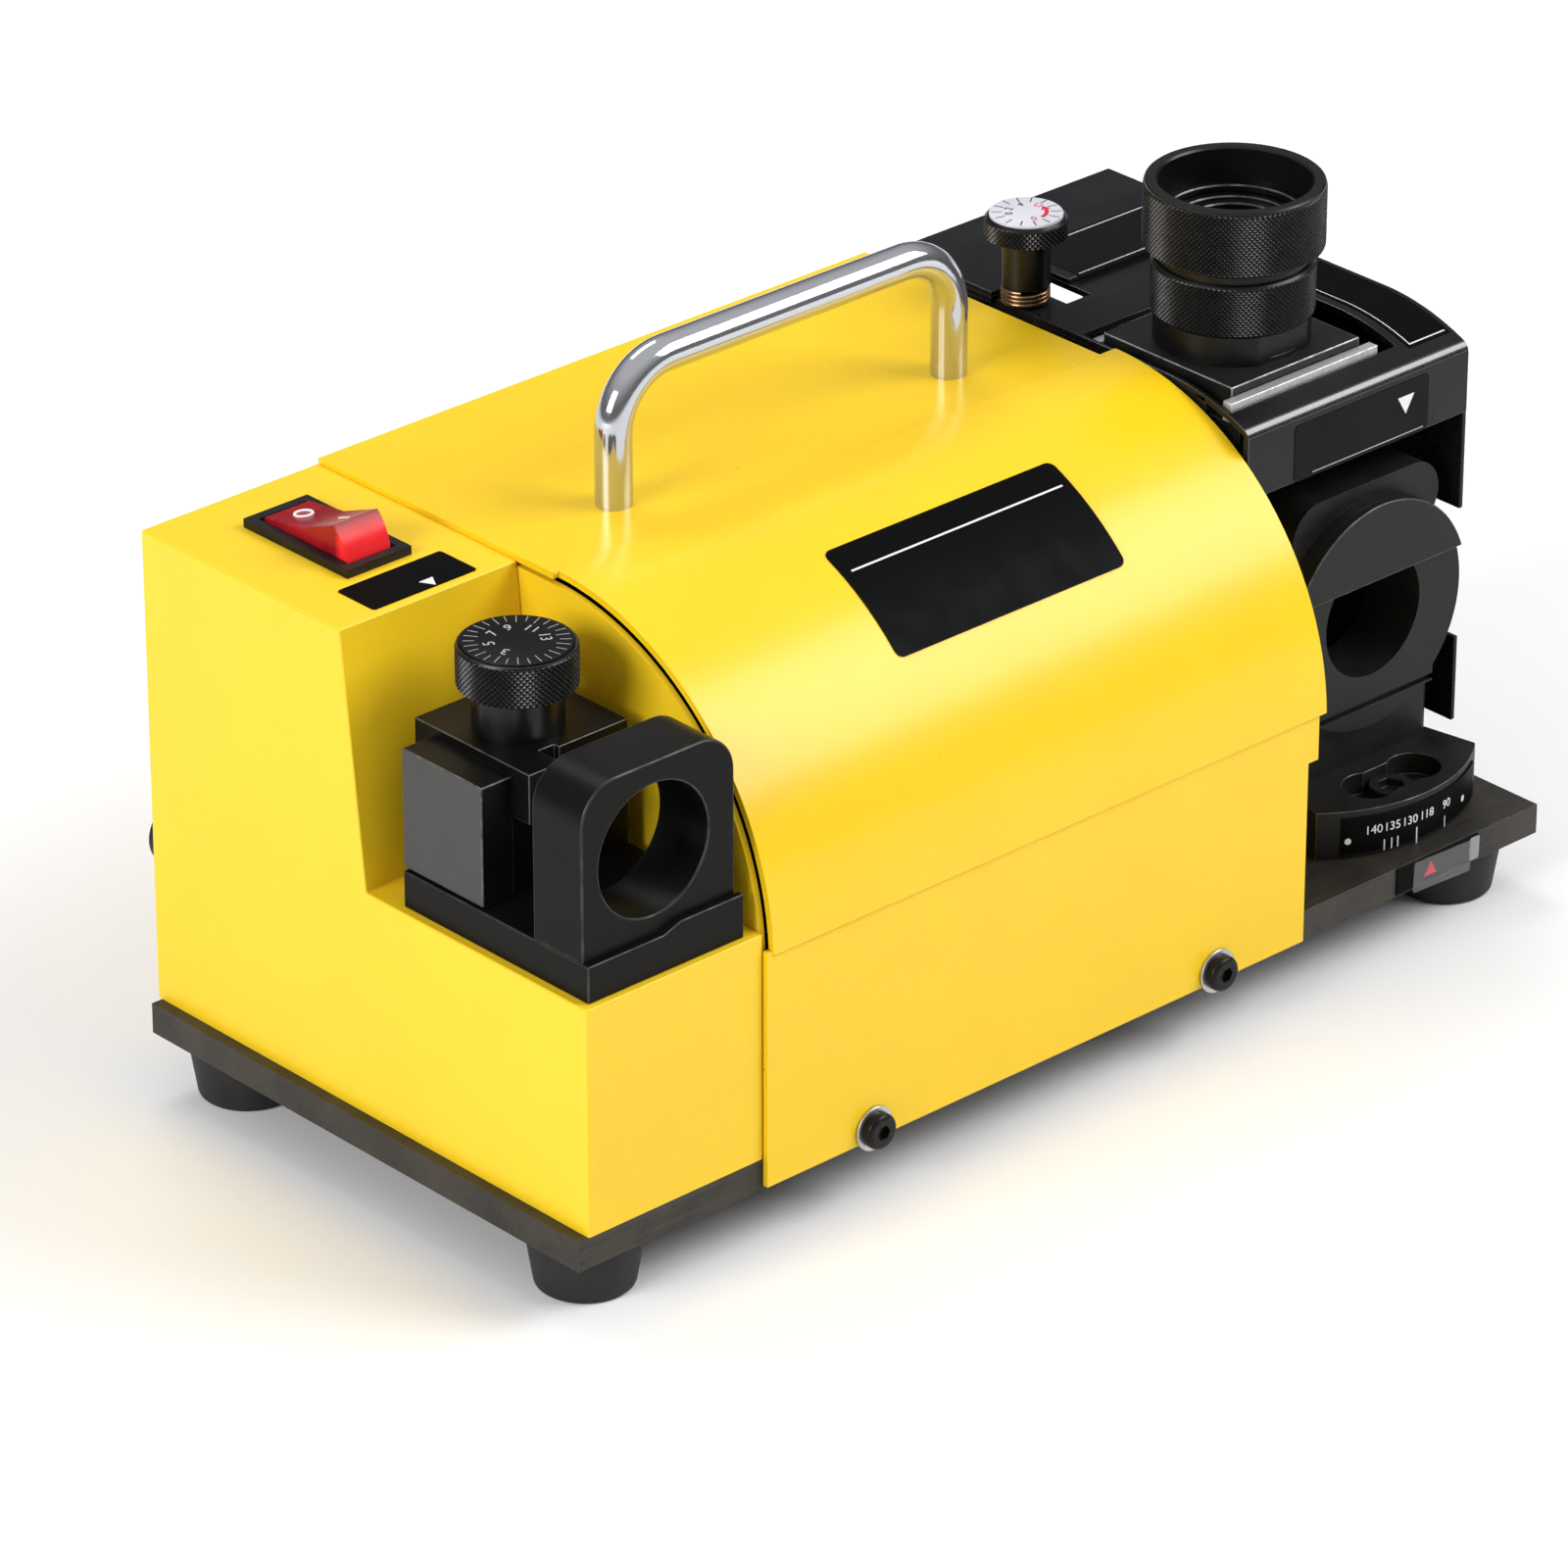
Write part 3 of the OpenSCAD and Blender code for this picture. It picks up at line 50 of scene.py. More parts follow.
# Places that several pieces share, in millimetres
CHUCK = (94.6, -14.7)
DEPTH_KNOB = (76.0, 29.5)
GAUGE_KNOB = (-112.5, -19.7)
SWIVEL = (110.0, -23.5)
SCALE_R = 39.1                 # face of the angle scale, out from the swivel's axis
HOOD_ARC = (-4.0397, 64.55)    # middle of the hood's rounded sheet, in Y and Z
HOOD_R = 65.2
HOOD_FLAT_Y = -68.9            # the hood's flat front, under the lap of the rounded sheet
HOOD_LAP_Y = -69.2
HOOD_FOLD_Z = 66.83
SCREW_HEADS_X = (-60.6, 39.0)  # the two screws on the hood's front
SCREW_HEADS_Z = 16.5
HEAD_ROLL = (-18.0, 70.6)      # middle of the head's rounded top sheet, in Y and Z
HEAD_ROLL_R = 58.0
HEAD_LIP_Y = -43.5
BOX_ENDS = (-137.2, -90.0)     # left and right sides of the electrical box
VIEW_TURN = -42.7              # right as the dials are read, in degrees from +X

WELD = 0.002 * MM               # points closer than this become one
HARD_EDGE = math.radians(30)    # faces that turn more than this meet in an edge to round


# ---- Selecting, moving and finishing meshes ----
def deselect():
    bpy.ops.object.select_all(action="DESELECT")


def activate(obj):
    deselect()
    obj.select_set(True)
    bpy.context.view_layer.objects.active = obj


def named(name):
    obj = bpy.context.view_layer.objects.active
    obj.name = name
    obj.data.name = name
    return obj


def settle(obj):
    activate(obj)
    bpy.ops.object.transform_apply(location=True, rotation=True, scale=True)
    return obj


def modify(obj, kind, **settings):
    activate(obj)
    modifier = obj.modifiers.new(kind.title(), kind)
    for key, value in settings.items():
        setattr(modifier, key, value)
    bpy.ops.object.modifier_apply(modifier=modifier.name)


def edit_all(obj, mode="VERT"):
    """Opens a mesh with everything on it selected."""
    activate(obj)
    bpy.ops.object.mode_set(mode="EDIT")
    bpy.ops.mesh.select_mode(type=mode)
    bpy.ops.mesh.select_all(action="SELECT")


def leave_edit():
    bpy.ops.object.mode_set(mode="OBJECT")


def clear_choice(obj, mode="VERT"):
    """Leaves a mesh with nothing selected, ready for points, edges or faces to be chosen."""
    edit_all(obj, mode)
    bpy.ops.mesh.select_all(action="DESELECT")
    leave_edit()


def close_rims():
    """Fills the open rims of the mesh that is being edited."""
    bpy.ops.mesh.select_all(action="DESELECT")
    bpy.ops.mesh.select_non_manifold(extend=False)
    bpy.ops.mesh.edge_face_add()


def face_outwards():
    bpy.ops.mesh.select_all(action="SELECT")
    bpy.ops.mesh.normals_make_consistent(inside=False)


def near(a, b, reach=0.02):
    return abs(a - b) < reach


def choose_edges(obj, test):
    """Selects the edges whose two ends, in millimetres, pass the test; leaves edit mode on."""
    clear_choice(obj, "EDGE")
    points = [v.co / MM for v in obj.data.vertices]
    count = 0
    for edge in obj.data.edges:
        edge.select = bool(test(points[edge.vertices[0]], points[edge.vertices[1]]))
        count += edge.select
    bpy.ops.object.mode_set(mode="EDIT")
    return count


def choose_faces(obj, test):
    """Selects the faces whose centre, in millimetres, and normal pass the test; leaves edit
    mode on."""
    clear_choice(obj, "FACE")
    for face in obj.data.polygons:
        face.select = bool(test(face.center / MM, face.normal))
    bpy.ops.object.mode_set(mode="EDIT")


def round_edges(obj, test, width, segments):
    """Rounds the edges that pass the test; width in millimetres."""
    if choose_edges(obj, test):
        bpy.ops.mesh.bevel(offset=width * MM, segments=segments, clamp_overlap=True)
    leave_edit()
    return obj


def smooth(obj, angle=38):
    activate(obj)
    bpy.ops.object.shade_smooth_by_angle(angle=math.radians(angle))
    return obj


def even_shading(obj):
    """Keeps large flat faces flat next to small rounded edges."""
    smooth(obj)
    modify(obj, "WEIGHTED_NORMAL", keep_sharp=True, weight=50)


def paint(obj, *finishes):
    obj.data.materials.clear()
    for finish in finishes:
        obj.data.materials.append(finish)


def other_finish(obj, slot, test):
    """Gives the faces that pass the test another of the piece's finishes."""
    choose_faces(obj, test)
    obj.active_material_index = slot
    bpy.ops.object.material_slot_assign()
    leave_edit()


def attach(obj, body, slot, *stands_for):
    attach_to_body(obj, body)
    if stands_for:
        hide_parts(*stands_for)


def own_copy(node, name):
    """A merged copy of a solid's mesh that can be shaped further."""
    source = NODES[node]
    obj = bpy.data.objects.new(name, source.data.copy())
    bpy.context.scene.collection.objects.link(obj)
    obj.data.name = name
    edit_all(obj)
    bpy.ops.mesh.remove_doubles(threshold=WELD)
    bpy.ops.mesh.dissolve_limited(angle_limit=math.radians(0.4))
    leave_edit()
    return obj


def softened(node, finishes, width, segments=3, shape=None):
    """Stands for a solid, with its hard edges rounded and in the last of its finishes."""
    obj = own_copy(node, node + "_skin")
    paint(obj, *finishes)
    if shape:
        shape(obj)
    modify(obj, "BEVEL", width=width * MM, segments=segments, limit_method="ANGLE",
           angle_limit=HARD_EDGE, use_clamp_overlap=True,
           material=len(finishes) - 1, miter_outer="MITER_ARC")
    even_shading(obj)
    attach(obj, BODY_OF[node], SLOT_OF[node], node)


# ---- Round pieces, turned ring by ring ----
def turned(name, axis, profile, sides, closed=False):
    """A turned piece standing on the axis (x, y). The profile lists radius and height in mm.
    A closed profile comes back to its first ring, as a tube's does."""
    radius, height = profile[0]
    deselect()
    bpy.ops.mesh.primitive_circle_add(vertices=sides, radius=radius * MM,
                                      fill_type="NOTHING" if closed else "NGON",
                                      location=(axis[0] * MM, axis[1] * MM, height * MM))
    obj = settle(named(name))
    edit_all(obj)
    steps = profile[1:] + (profile[:1] if closed else [])
    for next_radius, next_height in steps:
        bpy.ops.mesh.extrude_region_move(
            TRANSFORM_OT_translate={"value": (0, 0, (next_height - height) * MM)})
        if abs(next_radius - radius) > 1e-6:
            ratio = next_radius / radius
            bpy.ops.transform.resize(value=(ratio, ratio, 1),
                                     center_override=(axis[0] * MM, axis[1] * MM, 0))
        radius, height = next_radius, next_height
    bpy.ops.mesh.select_all(action="SELECT")
    bpy.ops.mesh.remove_doubles(threshold=WELD)
    if not closed:
        close_rims()
    face_outwards()
    leave_edit()
    return obj


def knurled(name, axis, radius, depth, below, band, above, closed=False):
    """A turned piece with a knurled band between the rings below and above it. The band lists
    its low and high ends, its rows and its sides. Every second point of it is sunk, so that
    rows of small diamonds stand up. The sides are a multiple of four, because a turned piece's
    first point lies on +Y."""
    low, high, rows, sides = band
    pitch = (high - low) / rows
    rings = [(radius, low + (high - low) * i / rows) for i in range(rows + 1)]
    obj = turned(name, axis, below + rings + above, sides, closed)
    clear_choice(obj)
    for v in obj.data.vertices:
        x, y, z = v.co.x / MM - axis[0], v.co.y / MM - axis[1], v.co.z / MM
        row = (z - low) / pitch
        if abs(math.hypot(x, y) - radius) > 0.01 or not -0.01 < row < rows + 0.01:
            continue
        side = round(math.atan2(y, x) / (2 * math.pi / sides))
        v.select = (round(row) + side) % 2 == 0
    bpy.ops.object.mode_set(mode="EDIT")
    ratio = (radius - depth) / radius
    bpy.ops.transform.resize(value=(ratio, ratio, 1),
                             center_override=(axis[0] * MM, axis[1] * MM, 0))
    leave_edit()
    choose_faces(obj, lambda c, n: low < c.z < high
                 and math.hypot(c.x - axis[0], c.y - axis[1]) > radius - 1.1 * depth)
    bpy.ops.mesh.quads_convert_to_tris(quad_method="SHORTEST_DIAGONAL")
    leave_edit()
    return smooth(obj, 28)


# ---- Materials ----
MIX_FACTOR, MIX_A, MIX_B, MIX_COLOR = 0, 6, 7, 2    # a colour Mix node's inputs and output


class Wire:
    """A node's output that can stand in a product."""

    def __init__(self, finish, socket):
        self.finish = finish
        self.socket = socket

    def __mul__(self, other):
        return self.finish.node("ShaderNodeMath", {"operation": "MULTIPLY"}, {0: self, 1: other})

    __rmul__ = __mul__


class Finish:
    """One surface finish on a Principled shader."""

    def __init__(self, name, color, roughness, **constants):
        self.material = bpy.data.materials.new(name)
        self.material.use_nodes = True
        self.material.diffuse_color = (*color, 1)
        self.tree = self.material.node_tree
        self.shader = self.tree.nodes["Principled BSDF"]
        self.shader.inputs["Base Color"].default_value = (*color, 1)
        self.shader.inputs["Roughness"].default_value = roughness
        for key, value in constants.items():
            self.shader.inputs[key.replace("_", " ")].default_value = value

    def node(self, kind, settings=None, values=None, output=0):
        """A node of a kind, with its settings made first and then its inputs set or linked."""
        made = self.tree.nodes.new(kind)
        for key, value in (settings or {}).items():
            setattr(made, key, value)
        for key, value in (values or {}).items():
            if isinstance(value, Wire):
                self.tree.links.new(value.socket, made.inputs[key])
            else:
                made.inputs[key].default_value = value
        return Wire(self, made.outputs[output])

    def place(self):
        """Object coordinates."""
        return self.node("ShaderNodeTexCoord", output="Object")

    def noise(self, size, detail=2.0, roughness=0.5, stretch=None):
        """Soft noise whose blobs are about size millimetres across."""
        at = self.place()
        if stretch:
            at = self.node("ShaderNodeMapping", {}, {"Vector": at, "Scale": stretch})
        return self.node("ShaderNodeTexNoise", {},
                         {"Vector": at, "Scale": 1 / (size * MM), "Detail": detail,
                          "Roughness": roughness})

    def cells(self, size):
        """How far the middle of the nearest cell is, for cells size millimetres across."""
        return self.node("ShaderNodeTexVoronoi", {"feature": "F1"},
                         {"Vector": self.place(), "Scale": 1 / (size * MM)}, "Distance")

    def level(self, wire, low, high, to_low=0.0, to_high=1.0):
        """A value carried over from one range to another and held at its ends."""
        return self.node("ShaderNodeMapRange", {"clamp": True},
                         {"Value": wire, "From Min": low, "From Max": high,
                          "To Min": to_low, "To Max": to_high})

    def mixed(self, factor, a, b):
        """A colour between a and b."""
        a, b = (c if isinstance(c, Wire) else (*c, 1) for c in (a, b))
        return self.node("ShaderNodeMix", {"data_type": "RGBA"},
                         {MIX_FACTOR: factor, MIX_A: a, MIX_B: b}, MIX_COLOR)

    def give(self, socket, wire):
        self.tree.links.new(wire.socket, self.shader.inputs[socket])

    def bump(self, height, depth):
        """Height from 0 to 1, depth in millimetres."""
        self.give("Normal", self.node("ShaderNodeBump", {},
                                      {"Height": height, "Distance": depth * MM}))


def yellow_powder_coat(name, color=(0.94, 0.612, 0.011), grain=0.9, depth=0.02, roughness=0.30):
    """Glossy yellow powder coat: fine leathery skin, faint mottling and a few dark specks."""
    f = Finish(name, color, roughness, Specular_IOR_Level=0.34, Coat_Weight=0.15,
               Coat_Roughness=0.18)
    leather = f.noise(grain, 3.0, 0.55)
    mottle = f.noise(24.0, 3.0, 0.6)
    speck = f.level(f.cells(9.0), 0.035, 0.02) * f.level(f.noise(30.0), 0.56, 0.6)
    dull = tuple(c * 0.965 for c in color)
    tint = f.mixed(f.level(mottle, 0.35, 0.7), color, dull)
    f.give("Base Color", f.mixed(speck * 0.6, tint, (0.16, 0.09, 0.02)))
    f.give("Roughness", f.level(leather, 0.3, 0.7, roughness - 0.03, roughness + 0.07))
    f.bump(leather, depth)
    return f.material


def black_powder_coat(name, gloss=0.2, coat=0.0):
    """Satin black coat of the head with a fine sandy grain."""
    f = Finish(name, (0.007, 0.007, 0.008), 0.30, Specular_IOR_Level=gloss,
               Coat_Weight=coat, Coat_Roughness=0.10)
    sand = f.noise(0.55, 3.0, 0.6)
    mottle = f.noise(14.0, 3.0, 0.6)
    f.give("Base Color", f.mixed(f.level(mottle, 0.35, 0.7), (0.005, 0.005, 0.006),
                                 (0.011, 0.011, 0.012)))
    f.give("Roughness", f.level(sand, 0.3, 0.7, 0.22, 0.36))
    f.bump(sand, 0.02)
    return f.material


def blackened_steel(name, light=1.0, roughness=0.42, grain=0.35, patchy=1.0, gloss=0.3):
    """Black oxide on machined steel: fine grain with lighter flecks painted as glints, and patches
    a little browner and greyer.
    """
    f = Finish(name, (0.011 * light, 0.011 * light, 0.011 * light), roughness,
               Specular_IOR_Level=gloss)
    fine = f.noise(grain, 4.0, 0.7)
    patch = f.noise(9.0, 4.0, 0.6)
    low, high = (0.011 - 0.002 * patchy) * light, (0.011 + 0.006 * patchy) * light
    deep = (low, low, low)
    worn = (high, high * 0.975, high * 0.93)
    # Painted glints: fine flecks of the grain made lighter
    sparkle = f.level(fine, 0.58, 0.74)
    tone = f.mixed(f.level(patch, 0.35, 0.7), deep, worn)
    f.give("Base Color", f.mixed(sparkle * 0.4, tone, (0.04 * light, 0.04 * light, 0.04 * light)))
    f.give("Roughness", f.level(patch, 0.3, 0.7, roughness - 0.04 * patchy,
                                roughness + 0.08 * patchy))
    f.bump(fine, 0.012)
    return f.material


def worn_and_highlit_edge(name, shade):
    """Rubbed edges of blackened steel, brighter where the oxide has gone; the lighter edge colour
    is also a painted highlight on the rounded edges.
    """
    f = Finish(name, (shade, shade * 0.97, shade * 0.92), 0.34, Metallic=0.6)
    rub = f.noise(3.5, 3.0, 0.55)
    dark = shade * 0.38
    f.give("Base Color", f.mixed(f.level(rub, 0.36, 0.66), (dark, dark * 0.97, dark * 0.95),
                                 (shade, shade * 0.97, shade * 0.93)))
    f.give("Roughness", f.level(rub, 0.35, 0.65, 0.44, 0.30))
    return f.material


def knurled_steel(name, axis, radius, depth, base, tips):
    """Blackened knurl whose diamond tips are rubbed a little lighter, which also serves as painted
    glints on them.
    """
    f = Finish(name, (base, base, base), 0.30, Specular_IOR_Level=0.34)
    offset = f.node("ShaderNodeVectorMath", {"operation": "SUBTRACT"},
                    {0: f.place(), 1: (axis[0] * MM, axis[1] * MM, 0)})
    flat = f.node("ShaderNodeVectorMath", {"operation": "MULTIPLY"}, {0: offset, 1: (1, 1, 0)})
    reach = f.node("ShaderNodeVectorMath", {"operation": "LENGTH"}, {0: flat}, "Value")
    # Lighter diamond tips: wear, and painted glints
    tip = f.level(reach, (radius - 0.40 * depth) * MM, radius * MM)
    rub = f.noise(2.5, 3.0, 0.6)
    f.give("Base Color", f.mixed(tip * f.level(rub, 0.35, 0.6, 0.4, 1.0),
                                 (base, base, base * 1.05), (tips, tips, tips * 0.97)))
    f.give("Roughness", f.level(rub, 0.3, 0.7, 0.26, 0.36))
    return f.material


def ground_plate():
    """Dark ground steel of the base plate with long faint grinding lines and brown patches."""
    f = Finish("ground_plate", (0.040, 0.037, 0.032), 0.42, Metallic=0.4,
               Specular_IOR_Level=0.35)
    lines = f.noise(1.0, 4.0, 0.65, stretch=(0.02, 1.0, 1.0))
    patch = f.noise(16.0, 4.0, 0.6)
    brown = f.mixed(f.level(patch, 0.35, 0.68), (0.031, 0.029, 0.026), (0.058, 0.049, 0.039))
    f.give("Base Color", f.mixed(f.level(lines, 0.5, 0.75) * 0.35, brown, (0.12, 0.11, 0.095)))
    f.give("Roughness", f.level(lines, 0.3, 0.7, 0.36, 0.52))
    f.bump(lines, 0.01)
    return f.material


def chrome():
    """Polished chrome with the faintest ripple."""
    f = Finish("polished_chrome", (0.55, 0.56, 0.59), 0.09, Metallic=0.86)
    ripple = f.noise(22.0, 2.0, 0.5)
    f.give("Roughness", f.level(f.noise(3.0, 3.0, 0.6), 0.35, 0.7, 0.07, 0.12))
    f.bump(ripple, 0.05)
    return f.material


def bright_steel(name="bright_steel", color=(0.50, 0.50, 0.51), roughness=0.28):
    """Turned or zinc-coated steel with faint streaks."""
    f = Finish(name, color, roughness, Metallic=1.0)
    streak = f.noise(0.8, 4.0, 0.65, stretch=(1.0, 1.0, 0.2))
    f.give("Base Color", f.mixed(f.level(streak, 0.35, 0.7), color, tuple(c * 0.72 for c in color)))
    f.give("Roughness", f.level(streak, 0.3, 0.7, roughness - 0.08, roughness + 0.12))
    f.bump(streak, 0.006)
    return f.material


def cast_alloy(name, color, roughness=0.55):
    """Cast motor and bell surfaces, dull and slightly pitted."""
    f = Finish(name, color, roughness, Metallic=0.6)
    pits = f.noise(1.4, 4.0, 0.6)
    f.give("Base Color", f.mixed(f.level(pits, 0.35, 0.7), color, tuple(c * 0.75 for c in color)))
    f.give("Roughness", f.level(pits, 0.3, 0.7, roughness - 0.08, roughness + 0.12))
    f.bump(pits, 0.05)
    return f.material


def rubber():
    """Matte black rubber with a dusty bloom."""
    f = Finish("foot_rubber", (0.014, 0.014, 0.015), 0.62, Specular_IOR_Level=0.35)
    bloom = f.noise(6.0, 4.0, 0.65)
    f.give("Base Color", f.mixed(f.level(bloom, 0.4, 0.75), (0.011, 0.011, 0.012),
                                 (0.024, 0.023, 0.022)))
    f.give("Roughness", f.level(bloom, 0.3, 0.7, 0.52, 0.72))
    f.bump(f.noise(0.5, 3.0, 0.6), 0.012)
    return f.material


def moulded_black():
    """Black moulded plastic of the switch and inlet, lightly spark-eroded."""
    f = Finish("moulded_black", (0.006, 0.006, 0.007), 0.38, Specular_IOR_Level=0.25)
    grain = f.noise(0.35, 3.0, 0.6)
    f.give("Base Color", f.mixed(f.level(f.noise(7.0), 0.35, 0.7), (0.004, 0.004, 0.005),
                                 (0.009, 0.009, 0.010)))
    f.give("Roughness", f.level(grain, 0.3, 0.7, 0.30, 0.48))
    f.bump(grain, 0.012)
    return f.material


def rocker_red():
    """Clear red rocker, deep red in the dip, with a painted highlight and a painted glow on the
    raised end where light falls.
    """
    f = Finish("rocker_red", (0.30, 0.006, 0.012), 0.26, Specular_IOR_Level=0.22,
               Emission_Strength=0.10)
    y = f.node("ShaderNodeSeparateXYZ", {}, {0: f.place()}, "Y")
    # Painted light: the raised front end is made brighter red towards -Y
    lit = f.level(y, 29.5 * MM, 27.6 * MM)
    cloud = f.noise(5.0, 2.0, 0.5)
    shade = f.mixed(f.level(cloud, 0.35, 0.7), (0.26, 0.006, 0.012), (0.38, 0.010, 0.018))
    f.give("Base Color", f.mixed(lit, shade, (0.85, 0.022, 0.026)))
    # Painted glow on the raised end, though the rocker holds no lamp
    f.give("Emission Color", f.mixed(lit, (0.0, 0.0, 0.0), (1.0, 0.02, 0.02)))
    f.give("Roughness", f.level(cloud, 0.3, 0.7, 0.20, 0.30))
    return f.material


def printed_film(name, color, roughness, gloss):
    """Printed film, flat and even, with faint waves from the glue under it."""
    f = Finish(name, color, roughness, Specular_IOR_Level=gloss)
    wave = f.noise(7.0, 2.0, 0.5)
    f.give("Base Color", f.mixed(f.level(wave, 0.3, 0.75), color, tuple(c * 0.86 for c in color)))
    f.give("Roughness", f.level(wave, 0.3, 0.7, roughness - 0.04, roughness + 0.08))
    f.bump(wave, 0.015)
    return f.material


def clear_tape(name, alpha):
    """Thin clear tape with faint wrinkles, a little milky."""
    f = Finish(name, (0.60, 0.60, 0.60), 0.12, Alpha=alpha)
    wrinkle = f.noise(2.2, 3.0, 0.6, stretch=(1.0, 1.0, 0.35))
    f.give("Roughness", f.level(wrinkle, 0.3, 0.7, 0.08, 0.22))
    f.bump(wrinkle, 0.12)
    return f.material


def print_ink(name, color):
    """Flat printing ink with a slightly broken surface."""
    f = Finish(name, color, 0.45)
    worn = f.noise(0.6, 3.0, 0.6)
    f.give("Base Color", f.mixed(f.level(worn, 0.55, 0.8), color, tuple(c * 0.78 for c in color)))
    return f.material


def abrasive_grit():
    """Electroplated grit of the grinding wheel."""
    f = Finish("abrasive_grit", (0.22, 0.20, 0.17), 0.55, Metallic=0.5)
    grit = f.cells(0.35)
    f.give("Base Color", f.mixed(f.level(grit, 0.1, 0.5), (0.34, 0.31, 0.26), (0.12, 0.11, 0.10)))
    f.give("Roughness", f.level(grit, 0.1, 0.5, 0.35, 0.7))
    f.bump(grit, 0.12)
    return f.material


def spring_wire():
    """Copper-coloured spring wire with darker tarnish patches."""
    f = Finish("spring_wire", (0.36, 0.20, 0.10), 0.3, Metallic=1.0)
    tarnish = f.noise(1.5, 3.0, 0.6)
    f.give("Base Color", f.mixed(f.level(tarnish, 0.35, 0.7), (0.46, 0.27, 0.15),
                                 (0.18, 0.11, 0.07)))
    f.give("Roughness", f.level(tarnish, 0.3, 0.7, 0.22, 0.42))
    return f.material


YELLOW = yellow_powder_coat("yellow_powder_coat")
YELLOW_BOX = yellow_powder_coat("yellow_box_coat", (0.94, 0.618, 0.015), 0.8, 0.026, 0.36)
BLACK_COAT = black_powder_coat("black_powder_coat")
BLACK_GLOSS = black_powder_coat("glossy_black_bend", 0.5, 1.0)
OXIDE = blackened_steel("blackened_steel", 0.95, 0.44, gloss=0.2)
OXIDE_SATIN = blackened_steel("satin_oxide", 0.8, 0.30, 0.5)
GAUGE_BLACK = blackened_steel("gauge_black", 0.32, 0.36, 0.35, 0.5, 0.11)
# Lighter grey for the jaw's left face: ground steel, and painted sheen from the left
JAW_GROUND_AND_SHEEN = blackened_steel("jaw_ground_and_sheen", 4.6, 0.50, 0.3, 0.25)
CHUCK_BLACK = blackened_steel("chuck_black", 0.4, 0.34, 0.6, 0.5, 0.22)
EDGE = worn_and_highlit_edge("worn_and_highlit_edge", 0.15)
EDGE_SOFT = worn_and_highlit_edge("soft_worn_and_highlit_edge", 0.06)
# Lighter still: a painted highlight along the port plate's edges, over their wear
EDGE_WORN_AND_HIGHLIT = worn_and_highlit_edge("bright_worn_and_highlit_edge", 0.42)
PLATE = ground_plate()
PLATE_EDGE = worn_and_highlit_edge("plate_edge", 0.11)
CHROME = chrome()
STEEL = bright_steel()
ZINC = bright_steel("zinc_plate", (0.62, 0.63, 0.65), 0.34)
RAIL = cast_alloy("rail_steel", (0.66, 0.66, 0.65), 0.36)
RUBBER = rubber()
PLASTIC = moulded_black()
RED = rocker_red()
FILM = printed_film("black_film", (0.0035, 0.0035, 0.0035), 0.42, 0.03)
LID_FILM = printed_film("lid_film", (0.005, 0.005, 0.005), 0.42, 0.08)
DIAL_FILM = printed_film("dial_film", (0.005, 0.005, 0.006), 0.40, 0.12)
WHITE_FILM = printed_film("white_film", (0.70, 0.70, 0.75), 0.3, 0.4)
WHITE_INK = print_ink("white_ink", (0.80, 0.80, 0.80))
DIAL_INK = print_ink("dial_ink", (0.42, 0.42, 0.42))
BLACK_INK = print_ink("black_ink", (0.015, 0.015, 0.02))
RED_INK = print_ink("red_ink", (0.60, 0.02, 0.05))
ALLOY = cast_alloy("cast_alloy", (0.42, 0.43, 0.44))
MOTOR_IRON = cast_alloy("motor_iron", (0.13, 0.135, 0.14))
CREAM = cast_alloy("cream_plastic", (0.62, 0.60, 0.54), 0.5)
GRIT = abrasive_grit()
SPRING = spring_wire()


# ---- Sheet metal in yellow ----
def box_outline(a, b):
    """Outer edges of the electrical box, apart from its lower rim."""
    low_rim, wire_hole, hole_reach = 21, (11, 34), 9
    ends = all(any(near(p.x, x) for x in BOX_ENDS) for p in (a, b))
    if not ends or max(a.z, b.z) < low_rim:
        return False
    if near(a.x, BOX_ENDS[1]) and math.dist((a.y, a.z), wire_hole) < hole_reach:
        return False
    return near(a.x, b.x) or min(a.z, b.z) > low_rim


def build_box():
    """Electrical box with its outer corners rounded."""
    obj = own_copy("electrical_box", "box_shell")
    paint(obj, YELLOW_BOX)
    round_edges(obj, box_outline, 2.0, 5)
    even_shading(obj)
    attach(obj, "base", "yellow_paint", "electrical_box")


def hood_rims(a, b):
    """Cut edges of the hood's sheet at its two ends and lower front."""
    left, right, low = -88.4, 65.4, 13.7
    return max(a.x, b.x) < left or min(a.x, b.x) > right or all(near(p.z, low) for p in (a, b))


def undercut_fold(obj):
    """Sets the flat front back a little just under the rounded sheet, so that the fold shows."""
    left_end, strip_low, set_back = -88.3, 65.3, 0.55
    for place, normal in (((0, 0, strip_low), (0, 0, 1)), ((left_end, 0, 0), (1, 0, 0))):
        choose_faces(obj, lambda c, n: n.y < -0.99 and near(c.y, HOOD_FLAT_Y, 0.05))
        bpy.ops.mesh.bisect(plane_co=Vector(place) * MM, plane_no=normal)
        leave_edit()
    clear_choice(obj)
    for v in obj.data.vertices:
        x, y, z = v.co / MM
        v.select = (x > left_end - 0.1 and near(y, HOOD_FLAT_Y, 0.05)
                    and near(z, HOOD_FOLD_Z, 0.05))
    bpy.ops.object.mode_set(mode="EDIT")
    bpy.ops.transform.translate(value=(0, set_back * MM, 0))
    leave_edit()


def build_hood():
    """Hood in bent sheet, its fold and cut rims softened, and the panels that close its ends."""
    obj = own_copy("hood", "hood_shell")
    paint(obj, YELLOW)
    undercut_fold(obj)
    round_edges(obj, lambda a, b: all(near(p.y, HOOD_LAP_Y) and near(p.z, HOOD_FOLD_Z)
                                      for p in (a, b)), 0.22, 2)
    round_edges(obj, hood_rims, 0.45, 2)
    even_shading(obj)
    attach(obj, "base", "yellow_paint", "hood")
    for node in ("left_end_panel", "right_end_panel"):
        softened(node, (YELLOW_BOX,), 0.6)


